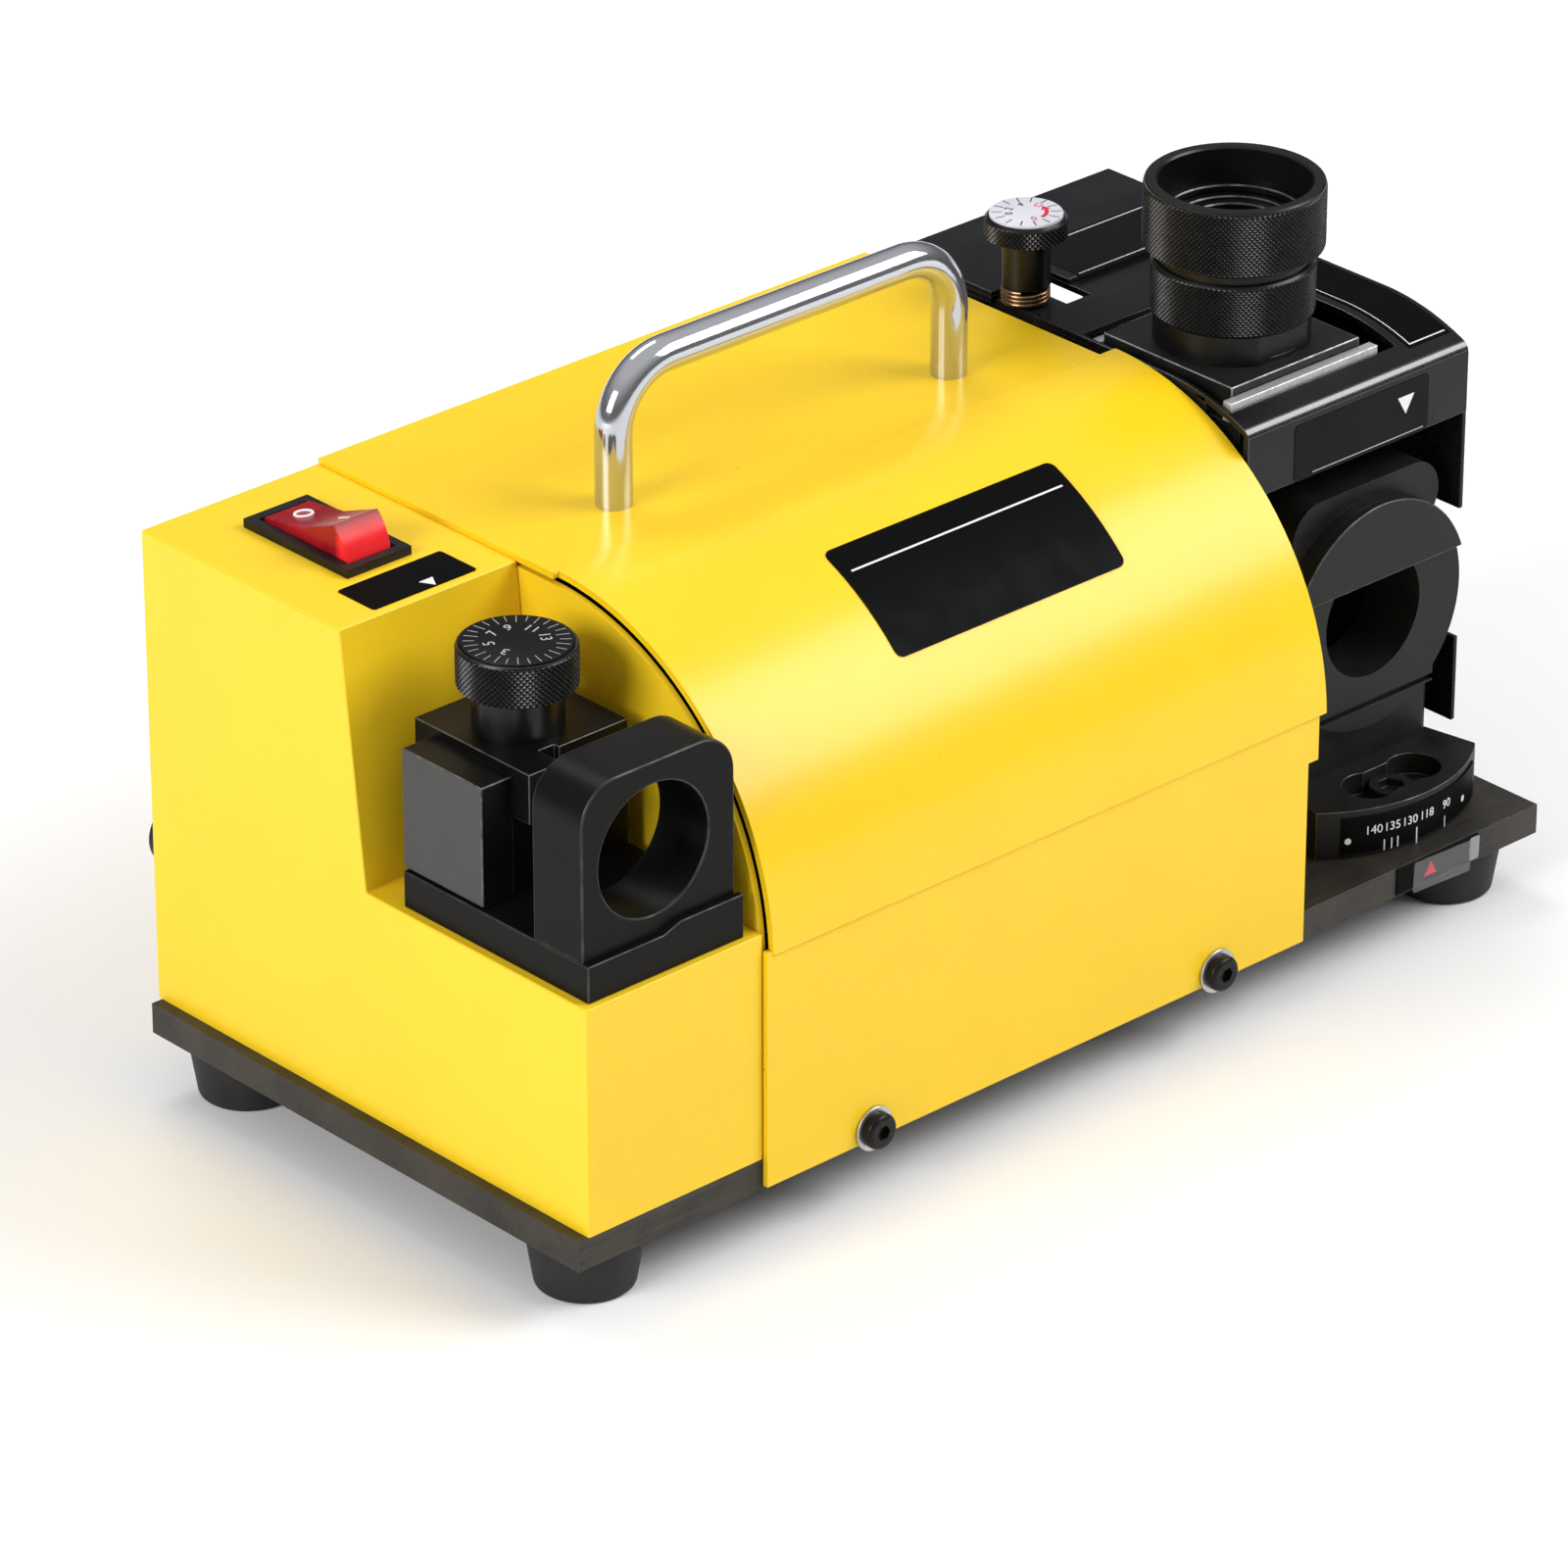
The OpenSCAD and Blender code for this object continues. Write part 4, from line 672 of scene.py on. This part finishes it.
# ---- Bent rod and wire ----
def tube(name, points, radius, resolution):
    """A round bar swept along points in millimetres, as a mesh with closed ends."""
    curve = bpy.data.curves.new(name + "_line", "CURVE")
    curve.dimensions = "3D"
    curve.bevel_depth = radius * MM
    curve.bevel_resolution = resolution
    curve.use_fill_caps = True
    spline = curve.splines.new("POLY")
    spline.points.add(len(points) - 1)
    for point, place in zip(spline.points, points):
        point.co = (*(c * MM for c in place), 1)
    obj = bpy.data.objects.new(name, curve)
    bpy.context.scene.collection.objects.link(obj)
    activate(obj)
    bpy.ops.object.convert(target="MESH")
    return named(name)


def build_handle():
    """One bent rod: a leg, two quarter bends and a bar."""
    left, right, middle_y, base, bar = -59.3, 35.5, 11.0, 129.8, 159.4
    rod_r, bend, steps = 4.0, 14.0, 16
    line = [(left, middle_y, base)]
    for centre, first in ((left + bend, math.pi), (right - bend, math.pi / 2)):
        for i in range(steps + 1):
            a = first - math.pi / 2 * i / steps
            line.append((centre + bend * math.cos(a), middle_y, bar - bend + bend * math.sin(a)))
    line.append((right, middle_y, base))
    obj = tube("handle_rod", line, rod_r, 10)
    edit_all(obj)
    bpy.ops.mesh.remove_doubles(threshold=WELD)
    face_outwards()
    leave_edit()
    smooth(obj, 50)
    paint(obj, CHROME)
    attach(obj, "base", "chrome_rod", "handle")


def build_spring():
    """Coil of the depth knob's spring, seen between its post and neck."""
    turns, low, high, radius, wire_r, last = 3.6, 128.4, 131.8, 4.95, 0.55, 129
    line = []
    for i in range(last + 1):
        a = 2 * math.pi * turns * i / last
        line.append((DEPTH_KNOB[0] + radius * math.cos(a), DEPTH_KNOB[1] + radius * math.sin(a),
                     low + (high - low) * i / last))
    obj = tube("depth_coil", line, wire_r, 3)
    smooth(obj, 60)
    paint(obj, SPRING)
    attach(obj, "base", "copper_wire", "depth_spring")


# ---- Knurled knobs and the chuck ----
def dial_face(name, axis, profile, film, body, slot, node):
    """The thin disc that a knob's figures are printed on."""
    obj = smooth(turned(name, axis, profile, 72))
    paint(obj, film)
    attach(obj, body, slot, node)


def chuck_ring(name, node, radius, depth, below, band, above, knurl, mouth):
    """One of the chuck's two knurled rings, plain black inside, with lighter rubbed chamfers round
    its mouth that are also painted highlights.
    """
    plain = 16.6
    obj = knurled(name, CHUCK, radius, depth, below, band, above, closed=True)
    paint(obj, knurl, EDGE, CHUCK_BLACK)
    other_finish(obj, 2, lambda c, n: math.dist(c.xy, CHUCK) < plain)
    # Worn chamfers round the mouth, made lighter as painted highlights too
    other_finish(obj, 1, lambda c, n: 0.3 < n.z < 0.95 and math.dist(c.xy, CHUCK) < mouth)
    attach(obj, BODY_OF[node], "black_oxide", node)


def build_chuck():
    """The grip with its tube, and the ring of the cap over it."""
    depth, grip_r, cap_r = 0.40, 17.85, 19.7
    chuck_ring("chuck_grip", "chuck_body", grip_r, depth,
               [(14.45, 111.7), (14.45, 135.7), (grip_r - 0.7, 135.7), (grip_r - depth, 136.2)],
               (136.5, 146.9, 18, 192),
               [(grip_r - depth, 147.3), (grip_r - 0.8, 147.7), (16.45, 147.7), (16.45, 155.7),
                (16.2, 155.9), (12.75, 155.9), (12.45, 155.6), (12.45, 155.3), (10.35, 155.3),
                (10.05, 155.0), (10.05, 111.7)],
               knurled_steel("grip_knurl", CHUCK, grip_r, depth, 0.004, 0.06), 12.8)
    chuck_ring("chuck_cap_ring", "chuck_cap", cap_r, depth,
               [(16.5, 150.3), (cap_r - 1.1, 150.3), (cap_r - depth, 150.8)],
               (151.2, 164.4, 22, 212),
               [(cap_r - depth, 164.7), (cap_r - 0.3, 164.9), (cap_r - 0.35, 165.2),
                (cap_r - 0.7, 165.5), (16.9, 165.5), (16.5, 165.1), (16.5, 157.6),
                (14.8, 157.6), (14.5, 157.3), (14.5, 156.2), (16.5, 156.2)],
               knurled_steel("cap_knurl", CHUCK, cap_r, depth, 0.004, 0.12), 15.0)


def build_depth_knob():
    """Knurled head with its white dial, and the plain spindle below."""
    radius, depth, neck_top = 9.2, 0.36, 132.3
    knob = knurled("depth_knob_head", DEPTH_KNOB, radius, depth,
                   [(5.5, 132.4), (5.5, 143.4), (radius - 1.0, 143.4), (radius - depth, 143.7)],
                   (143.9, 147.6, 6, 96),
                   [(radius - depth, 147.7), (radius - 0.75, 148.3), (radius - 0.95, 148.45),
                    (radius - 1.15, 148.2)])
    paint(knob, knurled_steel("depth_knurl", DEPTH_KNOB, radius, depth, 0.005, 0.14))
    attach(knob, "depth_knob", "black_oxide")
    dial_face("depth_dial_face", DEPTH_KNOB,
              [(8.0, 148.0), (8.05, 148.7), (7.9, 148.95), (7.7, 149.0)], WHITE_FILM,
              "depth_knob", "label_white", "depth_dial")
    spindle = own_copy("depth_knob", "depth_spindle")
    choose_faces(spindle, lambda c, n: c.z > neck_top)
    bpy.ops.mesh.delete(type="FACE")
    bpy.ops.mesh.select_mode(type="EDGE")
    close_rims()
    leave_edit()
    smooth(spindle)
    paint(spindle, OXIDE)
    attach(spindle, "depth_knob", "black_oxide", "depth_knob")


def build_gauge_knob():
    """Knurled head with its black dial."""
    radius, depth = 12.6, 0.38
    knob = knurled("gauge_knob_head", GAUGE_KNOB, radius, depth,
                   [(9.5, 109.0), (9.5, 118.0), (radius - 1.1, 118.0), (radius - depth, 118.3)],
                   (118.6, 126.7, 13, 128),
                   [(radius - depth, 126.95), (radius - 0.5, 127.2), (radius - 0.8, 127.25),
                    (radius - 1.1, 127.1)])
    paint(knob, knurled_steel("gauge_knurl", GAUGE_KNOB, radius, depth, 0.004, 0.12))
    attach(knob, "gauge_knob", "black_oxide", "gauge_knob")
    dial_face("gauge_dial_face", GAUGE_KNOB,
              [(11.4, 127.0), (11.45, 127.35), (11.35, 127.55), (11.2, 127.6)], DIAL_FILM,
              "gauge_knob", "label_black", "gauge_dial")


# ---- Figures, ticks and films ----
def joined(name, objects):
    """One mesh from several, each already at its place."""
    deselect()
    for obj in objects:
        obj.select_set(True)
    bpy.context.view_layer.objects.active = objects[0]
    bpy.ops.object.join()
    return settle(named(name))


def figure(text, size):
    """Digits as a thin solid, standing at the origin with their middle on it."""
    deselect()
    bpy.ops.object.text_add()
    obj = bpy.context.view_layer.objects.active
    obj.data.body = text
    obj.data.size = size * MM
    obj.data.align_x = "CENTER"
    obj.data.align_y = "CENTER"
    obj.data.extrude = 0.04 * MM
    obj.data.resolution_u = 4
    bpy.ops.object.convert(target="MESH")
    return bpy.context.view_layer.objects.active


def plate(width, height, thick=0.06):
    """A thin flat strip that faces up from the origin."""
    deselect()
    bpy.ops.mesh.primitive_cube_add(size=1)
    obj = bpy.context.view_layer.objects.active
    obj.scale = (width * MM, height * MM, thick * MM)
    return settle(obj)


def round_corners(obj, radius, segments=5):
    """Rounds the corners of a plate that lies flat."""
    return round_edges(obj, lambda a, b: near(a.x, b.x) and near(a.y, b.y), radius, segments)


def pointer(width, height):
    """A small solid triangle that points along +Y from the origin."""
    deselect()
    bpy.ops.mesh.primitive_cylinder_add(vertices=3, radius=1, depth=0.06 * MM)
    obj = bpy.context.view_layer.objects.active
    obj.scale = (width * MM / math.sqrt(3), height * MM / 1.5, 1)
    return settle(obj)


def lay(obj, place, across, up):
    """Moves a flat piece from the origin to its place, with its X along across, its Y along up."""
    x = Vector(across).normalized()
    y = Vector(up).normalized()
    z = x.cross(y)
    turn = Matrix((x, y, z)).transposed().to_4x4()
    obj.matrix_world = Matrix.Translation(Vector(place) * MM) @ turn
    return settle(obj)


def printed(name, obj, ink, body, slot="label_white"):
    """Names a mark or film that lies at its place, gives it its ink and puts it on its body."""
    obj.name = name
    paint(obj, ink)
    attach(obj, body, slot)


def on_dial(obj, axis, z, radius, angle, tilt=0.0):
    """Lays a figure on a dial, its top outwards unless it is tilted; angle in degrees from the
    right, as the dial is read."""
    a = math.radians(angle + VIEW_TURN)
    out = Vector((math.cos(a), math.sin(a), 0))
    across = Vector((math.sin(a), -math.cos(a), 0))
    turn = Matrix.Rotation(math.radians(tilt), 3, "Z")
    return lay(obj, (axis[0] + radius * out.x, axis[1] + radius * out.y, z),
               turn @ across, turn @ out)


def build_gauge_dial_print():
    ticks, first, rim, top = 28, 247, 10.9, 127.61
    marks = []
    for text, angle in (("3", 247), ("5", 197), ("7", 150), ("9", 110), ("11", 60.6), ("13", 14)):
        marks.append(on_dial(figure(text, 3.5), GAUGE_KNOB, top + 0.01, 5.7, angle))
    for i in range(ticks):
        length = 2.9 if i % 2 == 0 else 2.3
        marks.append(on_dial(plate(0.16, length), GAUGE_KNOB, top, rim - length / 2,
                             first - i * 360 / ticks))
    printed("gauge_dial_print", joined("gauge_dial_print", marks), DIAL_INK, "gauge_knob")


def build_depth_dial_print():
    """Black figures and ticks, and the red arrow between a nought and a U."""
    ticks, first, length, rim, top, digits = 14, 105, 2.3, 7.6, 149.01, 2.6
    beads, bead_first, bead_step, arrow_r = 7, -38, 9, 4.4
    dark = []
    for text, angle in (("0", 197), ("2", 160), ("4", 108)):
        dark.append(on_dial(figure(text, digits), DEPTH_KNOB, top + 0.01, 3.9, angle))
    for i in range(ticks):
        dark.append(on_dial(plate(0.26, length), DEPTH_KNOB, top, rim - length / 2,
                            first + i * 360 / ticks))
    printed("depth_dial_print", joined("depth_dial_print", dark), BLACK_INK, "depth_knob",
            "label_black")
    red = [on_dial(figure("0", digits), DEPTH_KNOB, top + 0.01, 4.0, 292),
           on_dial(figure("U", digits), DEPTH_KNOB, top + 0.01, 4.2, 52)]
    for i in range(beads):
        red.append(on_dial(plate(0.62, 0.9), DEPTH_KNOB, top + 0.005, arrow_r,
                           bead_first + i * bead_step))
    red.append(on_dial(pointer(2.2, 1.8), DEPTH_KNOB, top + 0.01, arrow_r, 24, 90))
    printed("depth_dial_arrow", joined("depth_dial_arrow", red), RED_INK, "depth_knob",
            "plastic_red")


def on_scale(obj, angle, z, lift):
    """Lays a figure on the swivel's round front; angle in degrees from -Y towards +X."""
    a = math.radians(angle)
    out = Vector((math.sin(a), -math.cos(a), 0))
    across = Vector((math.cos(a), math.sin(a), 0))
    reach = SCALE_R + lift
    return lay(obj, (SWIVEL[0] + reach * out.x, SWIVEL[1] + reach * out.y, z), across, (0, 0, 1))


def build_scale_print():
    softened("angle_scale", (FILM,), 0.12, 1)
    digits_z, ticks_z, dots_z = 26.4, 22.2, 24.4
    marks = []
    for text, angle in (("140", -21.0), ("135", -14.3), ("130", -7.5), ("118", -0.3), ("90", 9.5)):
        marks.append(on_scale(figure(text, 2.9), angle, digits_z, 0.07))
    for angle, length in ((-17.1, 2.6), (-14.4, 2.6), (-12.1, 2.6), (-4.5, 4.0), (8.9, 2.6)):
        marks.append(on_scale(plate(0.3, length), angle, ticks_z, 0.03))
    for angle in (-29.7, 20.5):
        deselect()
        bpy.ops.mesh.primitive_cylinder_add(vertices=20, radius=0.75 * MM, depth=0.08 * MM)
        marks.append(on_scale(bpy.context.view_layer.objects.active, angle, dots_z, 0.04))
    printed("angle_scale_print", joined("angle_scale_print", marks), WHITE_INK, "angle_port")


def build_index_print():
    """Red pointer under the scale, and the clear tape that holds its plate."""
    front, plate_x = -67.9, 109.6
    softened("index_plate", (FILM,), 0.12, 1)
    mark = lay(pointer(3.8, 3.3), (105.9, front - 0.03, 16.2), (1, 0, 0), (0, 0, 1))
    printed("index_pointer", mark, RED_INK, "base", "plastic_red")
    for name, width, height, x, z, finish in (
            ("index_tape", 18.0, 7.4, plate_x, 15.6, clear_tape("clear_tape", 0.10)),
            ("index_tape_end", 3.0, 5.6, plate_x + 10, 16.6, clear_tape("tape_end", 0.34))):
        tape = round_corners(plate(width, height, 0.05), 0.5, 3)
        tape = lay(tape, (x, front - 0.07, z), (1, 0, -0.04), (0.04, 0, 1))
        printed(name, tape, finish, "base", "label_black")


def build_front_plate():
    """Bare black film on the hood's curve, with one thin white line."""
    plate_ends, line_x, line_y = (-37.5, 27.3), -5.0, -34.3
    obj = own_copy("front_plate", "front_film")
    paint(obj, FILM)

    def corners(a, b):
        at_end = near(a.x, b.x) and any(near(a.x, end) for end in plate_ends)
        reach_a, reach_b = (math.dist((p.y, p.z), HOOD_ARC) for p in (a, b))
        return at_end and abs(reach_a - reach_b) > 0.2

    round_edges(obj, corners, 3.2, 6)
    even_shading(obj)
    attach(obj, "base", "label_black", "front_plate")
    slope = math.asin((line_y - HOOD_ARC[0]) / -HOOD_R)
    out = Vector((0, -math.sin(slope), math.cos(slope)))
    down = Vector((0, -math.cos(slope), -math.sin(slope)))
    reach = HOOD_R + 0.33
    line = lay(plate(60.0, 0.45),
               (line_x, HOOD_ARC[0] + reach * out.y, HOOD_ARC[1] + reach * out.z),
               (1, 0, 0), -down)
    printed("front_film_line", line, WHITE_INK, "base")


def build_web_plate():
    """Small bare film beside the switch, with its pointer."""
    obj = own_copy("web_plate", "web_film")
    paint(obj, FILM)
    round_corners(obj, 0.6, 3)
    even_shading(obj)
    attach(obj, "base", "label_black", "web_plate")
    mark = lay(pointer(3.6, 3.2), (-109.9, 10.2, 129.03), (-1, 0, 0), (0, -1, 0))
    printed("web_pointer", mark, WHITE_INK, "base")


def roll_angle(y):
    """How far round the head's shoulder the place y lies, from the top towards the front."""
    return math.asin(max(HEAD_ROLL[0] - y, 0) / HEAD_ROLL_R)


def shoulder_strip(name, x0, x1, y0, y1, gap):
    """A thin strip spun round the head's shoulder from y0 and drawn on to y1 over the flat top,
    with a gap between it and the sheet."""
    thick = 0.1
    start, end = roll_angle(y0), roll_angle(y1)
    reach = HEAD_ROLL_R + gap + thick / 2
    centre = (0, HEAD_ROLL[0] * MM, HEAD_ROLL[1] * MM)
    deselect()
    bpy.ops.mesh.primitive_plane_add(size=1)
    obj = named(name)
    obj.scale = ((x1 - x0) * MM, thick * MM, 1)
    obj.rotation_euler = (math.pi / 2 + start, 0, 0)
    obj.location = ((x0 + x1) / 2 * MM, centre[1] - reach * math.sin(start) * MM,
                    centre[2] + reach * math.cos(start) * MM)
    settle(obj)
    edit_all(obj, "FACE")
    steps = max(2, round(math.degrees(start - end) / 1.5))
    bpy.ops.mesh.spin(steps=steps, angle=start - end, center=centre, axis=(1, 0, 0))
    if y1 > HEAD_ROLL[0]:
        bpy.ops.mesh.extrude_region_move(
            TRANSFORM_OT_translate={"value": (0, (y1 - HEAD_ROLL[0]) * MM, 0)})
    bpy.ops.mesh.select_mode(type="VERT")
    bpy.ops.mesh.select_all(action="SELECT")
    bpy.ops.mesh.remove_doubles(threshold=WELD)
    close_rims()
    face_outwards()
    leave_edit()
    return smooth(obj)


def build_head_films():
    """Bare films on the head's lip, its round shoulder and its lid, with their thin borders."""
    film = round_corners(plate(41.0, 13.2, 0.12), 1.2)
    film = lay(film, (105.5, HEAD_LIP_Y - 0.07, 113.6), (1, 0, 0), (0, 0, 1))
    printed("lip_film", film, LID_FILM, "base", "label_black")
    mark = lay(pointer(5.0, 4.2), (118.9, HEAD_LIP_Y - 0.17, 115.5), (-1, 0, 0), (0, 0, -1))
    printed("lip_pointer", mark, WHITE_INK, "base")
    line = lay(plate(34.0, 0.22), (107.5, HEAD_LIP_Y - 0.15, 107.9), (1, 0, 0), (0, 0, 1))
    printed("lip_line", line, DIAL_INK, "base")

    film = shoulder_strip("shoulder_film", 124.4, 137.0, -39.0, 0.0, 0.01)
    printed("shoulder_film", film, FILM, "base", "label_black")
    borders = [shoulder_strip("border", 125.2, 136.2, -38.2, -37.9, 0.05),
               shoulder_strip("border", 125.2, 125.45, -37.9, -1.0, 0.05)]
    printed("shoulder_border", joined("shoulder_border", borders), WHITE_INK, "base")

    film_x, film_y, film_z = 109.5, 37.0, 129.85
    film = round_corners(plate(37.0, 18.6, 0.1), 0.8)
    film = lay(film, (film_x, film_y, film_z), (1, 0, 0), (0, 1, 0))
    printed("lid_film", film, LID_FILM, "base", "label_black")
    lines = [lay(plate(35.8, 0.25), (film_x, y, film_z + 0.06), (1, 0, 0), (0, 1, 0))
             for y in (film_y - 8.1, film_y + 8.2)]
    printed("lid_border", joined("lid_border", lines), WHITE_INK, "base")


# ---- Switch ----
def build_switch():
    """Frame and rocker, with a ring and a bar printed on the rocker's two slopes."""
    middle_x, ring_slope, bar_slope = -112.5, math.radians(-8), math.radians(-22)
    softened("switch_frame", (PLASTIC,), 0.35, 2)
    softened("switch_rocker", (RED,), 0.5, 3)
    deselect()
    bpy.ops.mesh.primitive_torus_add(major_radius=1.9 * MM, minor_radius=0.32 * MM,
                                     major_segments=40, minor_segments=8)
    ring = lay(bpy.context.view_layer.objects.active, (middle_x, 46.4, 132.25), (1, 0, 0),
               (0, math.cos(ring_slope), math.sin(ring_slope)))
    smooth(ring, 60)
    printed("switch_ring", ring, WHITE_INK, "switch_rocker")
    bar = lay(round_corners(plate(0.55, 3.6, 0.5), 0.12, 2), (middle_x, 33.5, 135.75),
              (1, 0, 0), (0, math.cos(bar_slope), math.sin(bar_slope)))
    printed("switch_bar", bar, WHITE_INK, "switch_rocker")


# ---- Everything that keeps its solid shape, with softened edges ----
# Finishes, width of the softened edges in millimetres and their segments
SOFTENED = {
    "base_plate": ((PLATE, PLATE_EDGE), 0.5, 2),
    "rubber_feet": ((RUBBER,), 0.9, 3),
    "foot_screws": ((OXIDE,), 0.2, 2),
    "plate_screws": ((OXIDE,), 0.2, 2),
    "hood_washers": ((ZINC,), 0.2, 2),
    "power_inlet": ((PLASTIC,), 0.5, 2),
    "handle_nuts": ((ZINC,), 0.3, 2),
    "cooling_fan": ((PLASTIC,), 0.2, 1),
    "motor_body": ((MOTOR_IRON,), 0.6, 2),
    "motor_left_bell": ((ALLOY,), 0.8, 2),
    "motor_right_bell": ((ALLOY,), 0.8, 2),
    "motor_cradle": ((MOTOR_IRON,), 0.6, 2),
    "motor_shaft": ((STEEL,), 0.4, 2),
    "left_bearing": ((STEEL,), 0.4, 2),
    "right_bearing": ((STEEL,), 0.4, 2),
    "wheel_hub": ((STEEL,), 0.3, 2),
    "grinding_wheel": ((GRIT,), 0.3, 2),
    "wheel_nut": ((STEEL,), 0.4, 2),
    "head_frame": ((BLACK_COAT,), 0.3, 2),
    "head_lid": ((BLACK_COAT, EDGE_SOFT), 0.3, 2),
    "port_bed": ((BLACK_COAT,), 0.3, 2),
    "port_rails": ((RAIL,), 0.25, 2),
    "port_plate": ((OXIDE, EDGE_WORN_AND_HIGHLIT), 0.28, 2),
    "port_bush": ((CHUCK_BLACK, EDGE_SOFT), 0.35, 2),
    # Chuck black on the collet, darker than the port's oxide: painted shade deep in the chuck
    "collet": ((CHUCK_BLACK,), 0.2, 1),
    "depth_post": ((OXIDE, EDGE_SOFT), 0.3, 2),
    "swivel_base": ((OXIDE, EDGE), 0.35, 2),
    "stop_plate": ((OXIDE, EDGE), 0.3, 2),
    "swivel_pin": ((STEEL,), 0.3, 2),
    "swivel_screw": ((OXIDE_SATIN,), 0.25, 2),
    "gauge_base": ((GAUGE_BLACK, EDGE_SOFT), 0.3, 2),
    "gauge_ring": ((GAUGE_BLACK, EDGE_SOFT), 0.4, 3),
    "gauge_housing": ((GAUGE_BLACK, EDGE), 0.35, 2),
    "gauge_spindle": ((STEEL,), 0.2, 1),
    "motor_capacitor": ((ALLOY,), 0.6, 2),
    "terminal_block": ((CREAM,), 0.5, 2),
    "switch_body": ((PLASTIC,), 0.3, 1),
}


def roll_front_edge(obj):
    """Rounds the bend between the head's front lip and its shoulder, and makes it glossy."""
    fold_z, bend_back = 122.69, -40.9
    round_edges(obj, lambda a, b: all(near(p.y, HEAD_LIP_Y) and near(p.z, fold_z)
                                      for p in (a, b)), 1.7, 6)
    other_finish(obj, 1, lambda c, n: c.y < bend_back and 0.30 < n.z < 0.90)


def domed_heads(obj):
    """Rounds the rims of the two button heads on the hood's front."""
    front, socket_reach = -72.2, 3.5

    def on_rim(p):
        return near(p.y, front) and all(
            math.dist((p.x, p.z), (x, SCREW_HEADS_Z)) > socket_reach for x in SCREW_HEADS_X)

    round_edges(obj, lambda a, b: on_rim(a) and on_rim(b), 1.6, 5)


def black_flanks(obj):
    """Leaves the jaw's left face a lighter grey, ground steel with a painted sheen, and the rest of
    it black.
    """
    other_finish(obj, 1, lambda c, n: n.x > -0.5)


def cut_ledge(obj):
    """Cuts the narrow ledge across the angle port's front, under its bore."""
    low, high, front, depth = 46.0, 47.3, -44.3, 1.1
    for z in (low, high):
        edit_all(obj)
        bpy.ops.mesh.bisect(plane_co=(0, 0, z * MM), plane_no=(0, 0, 1))
        leave_edit()
    choose_faces(obj, lambda c, n: n.y < -0.9 and c.y < front and low < c.z < high)
    bpy.ops.mesh.extrude_region_move(TRANSFORM_OT_translate={"value": (0, depth * MM, 0)})
    leave_edit()


build_box()
build_hood()
build_handle()
build_chuck()
build_depth_knob()
build_gauge_knob()
build_spring()
build_gauge_dial_print()
build_depth_dial_print()
build_scale_print()
build_index_print()
build_front_plate()
build_web_plate()
build_head_films()
build_switch()
softened("angle_port", (OXIDE, EDGE), 0.35, 2, shape=cut_ledge)
softened("head_cover", (BLACK_COAT, BLACK_GLOSS), 0.5, 3, shape=roll_front_edge)
softened("hood_screws", (CHUCK_BLACK, EDGE_SOFT), 0.15, 2, shape=domed_heads)
softened("gauge_jaw", (JAW_GROUND_AND_SHEEN, GAUGE_BLACK, EDGE), 0.35, 2, shape=black_flanks)
for node_name, (finishes, width, segments) in SOFTENED.items():
    softened(node_name, finishes, width, segments)


# ---- Floor, light and camera ----
def build_stage():
    deselect()
    bpy.ops.mesh.primitive_plane_add(size=30)
    floor = named("floor")
    f = Finish("pale_floor", (0.90, 0.90, 0.90), 0.85)
    f.give("Roughness", f.level(f.noise(40.0), 0.3, 0.7, 0.8, 0.95))
    paint(floor, f.material)


def softbox(name, place, aim, size, power):
    """A rectangular lamp that faces the aim; place, aim and size in metres."""
    light = bpy.data.lights.new(name, "AREA")
    light.shape = "RECTANGLE"
    light.size, light.size_y = size
    light.energy = power
    obj = bpy.data.objects.new(name, light)
    bpy.context.scene.collection.objects.link(obj)
    obj.location = place
    obj.rotation_euler = (Vector(aim) - Vector(place)).to_track_quat("-Z", "Y").to_euler()


def build_light():
    """Even studio light: a bright sky that is dimmer near the ground, and three soft boxes."""
    world = bpy.data.worlds.new("studio")
    world.use_nodes = True
    tree = world.node_tree
    sky = tree.nodes["Background"]
    sky.inputs["Color"].default_value = (0.96, 0.97, 1.0, 1)
    place = tree.nodes.new("ShaderNodeTexCoord")
    split = tree.nodes.new("ShaderNodeSeparateXYZ")
    ramp = tree.nodes.new("ShaderNodeMapRange")
    for key, value in (("From Min", 0.20), ("From Max", 0.80), ("To Min", 0.07),
                       ("To Max", 0.62)):
        ramp.inputs[key].default_value = value
    tree.links.new(place.outputs["Generated"], split.inputs[0])
    tree.links.new(split.outputs["Z"], ramp.inputs["Value"])
    tree.links.new(ramp.outputs["Result"], sky.inputs["Strength"])
    bpy.context.scene.world = world
    middle = (0.0, 0.0, 0.07)
    softbox("key_softbox", (1.35, -1.25, 1.5), middle, (1.5, 1.2), 40)
    softbox("left_softbox", (-2.2, 0.0, 1.05), middle, (1.2, 1.0), 40)
    softbox("back_softbox", (0.3, 1.2, 2.0), middle, (1.2, 0.6), 12)
    bpy.context.scene.view_settings.view_transform = "Standard"
    bpy.context.scene.view_settings.look = "None"


def build_camera():
    sensor = 36                                      # in millimetres
    focal_length, picture_width = 8883.81, 1600      # in pixels
    tilt_down, heading = 0.4773410, 0.8262819        # in radians
    camera = bpy.data.cameras.new("camera")
    camera.sensor_width = sensor
    camera.lens = focal_length / picture_width * sensor
    camera.clip_end = 50
    obj = bpy.data.objects.new("camera", camera)
    bpy.context.scene.collection.objects.link(obj)
    obj.location = (-1.126625, -1.198875, 0.89924)
    obj.rotation_euler = (math.pi / 2 - tilt_down, 0, heading - math.pi / 2)
    bpy.context.scene.camera = obj


build_stage()
build_light()
build_camera()
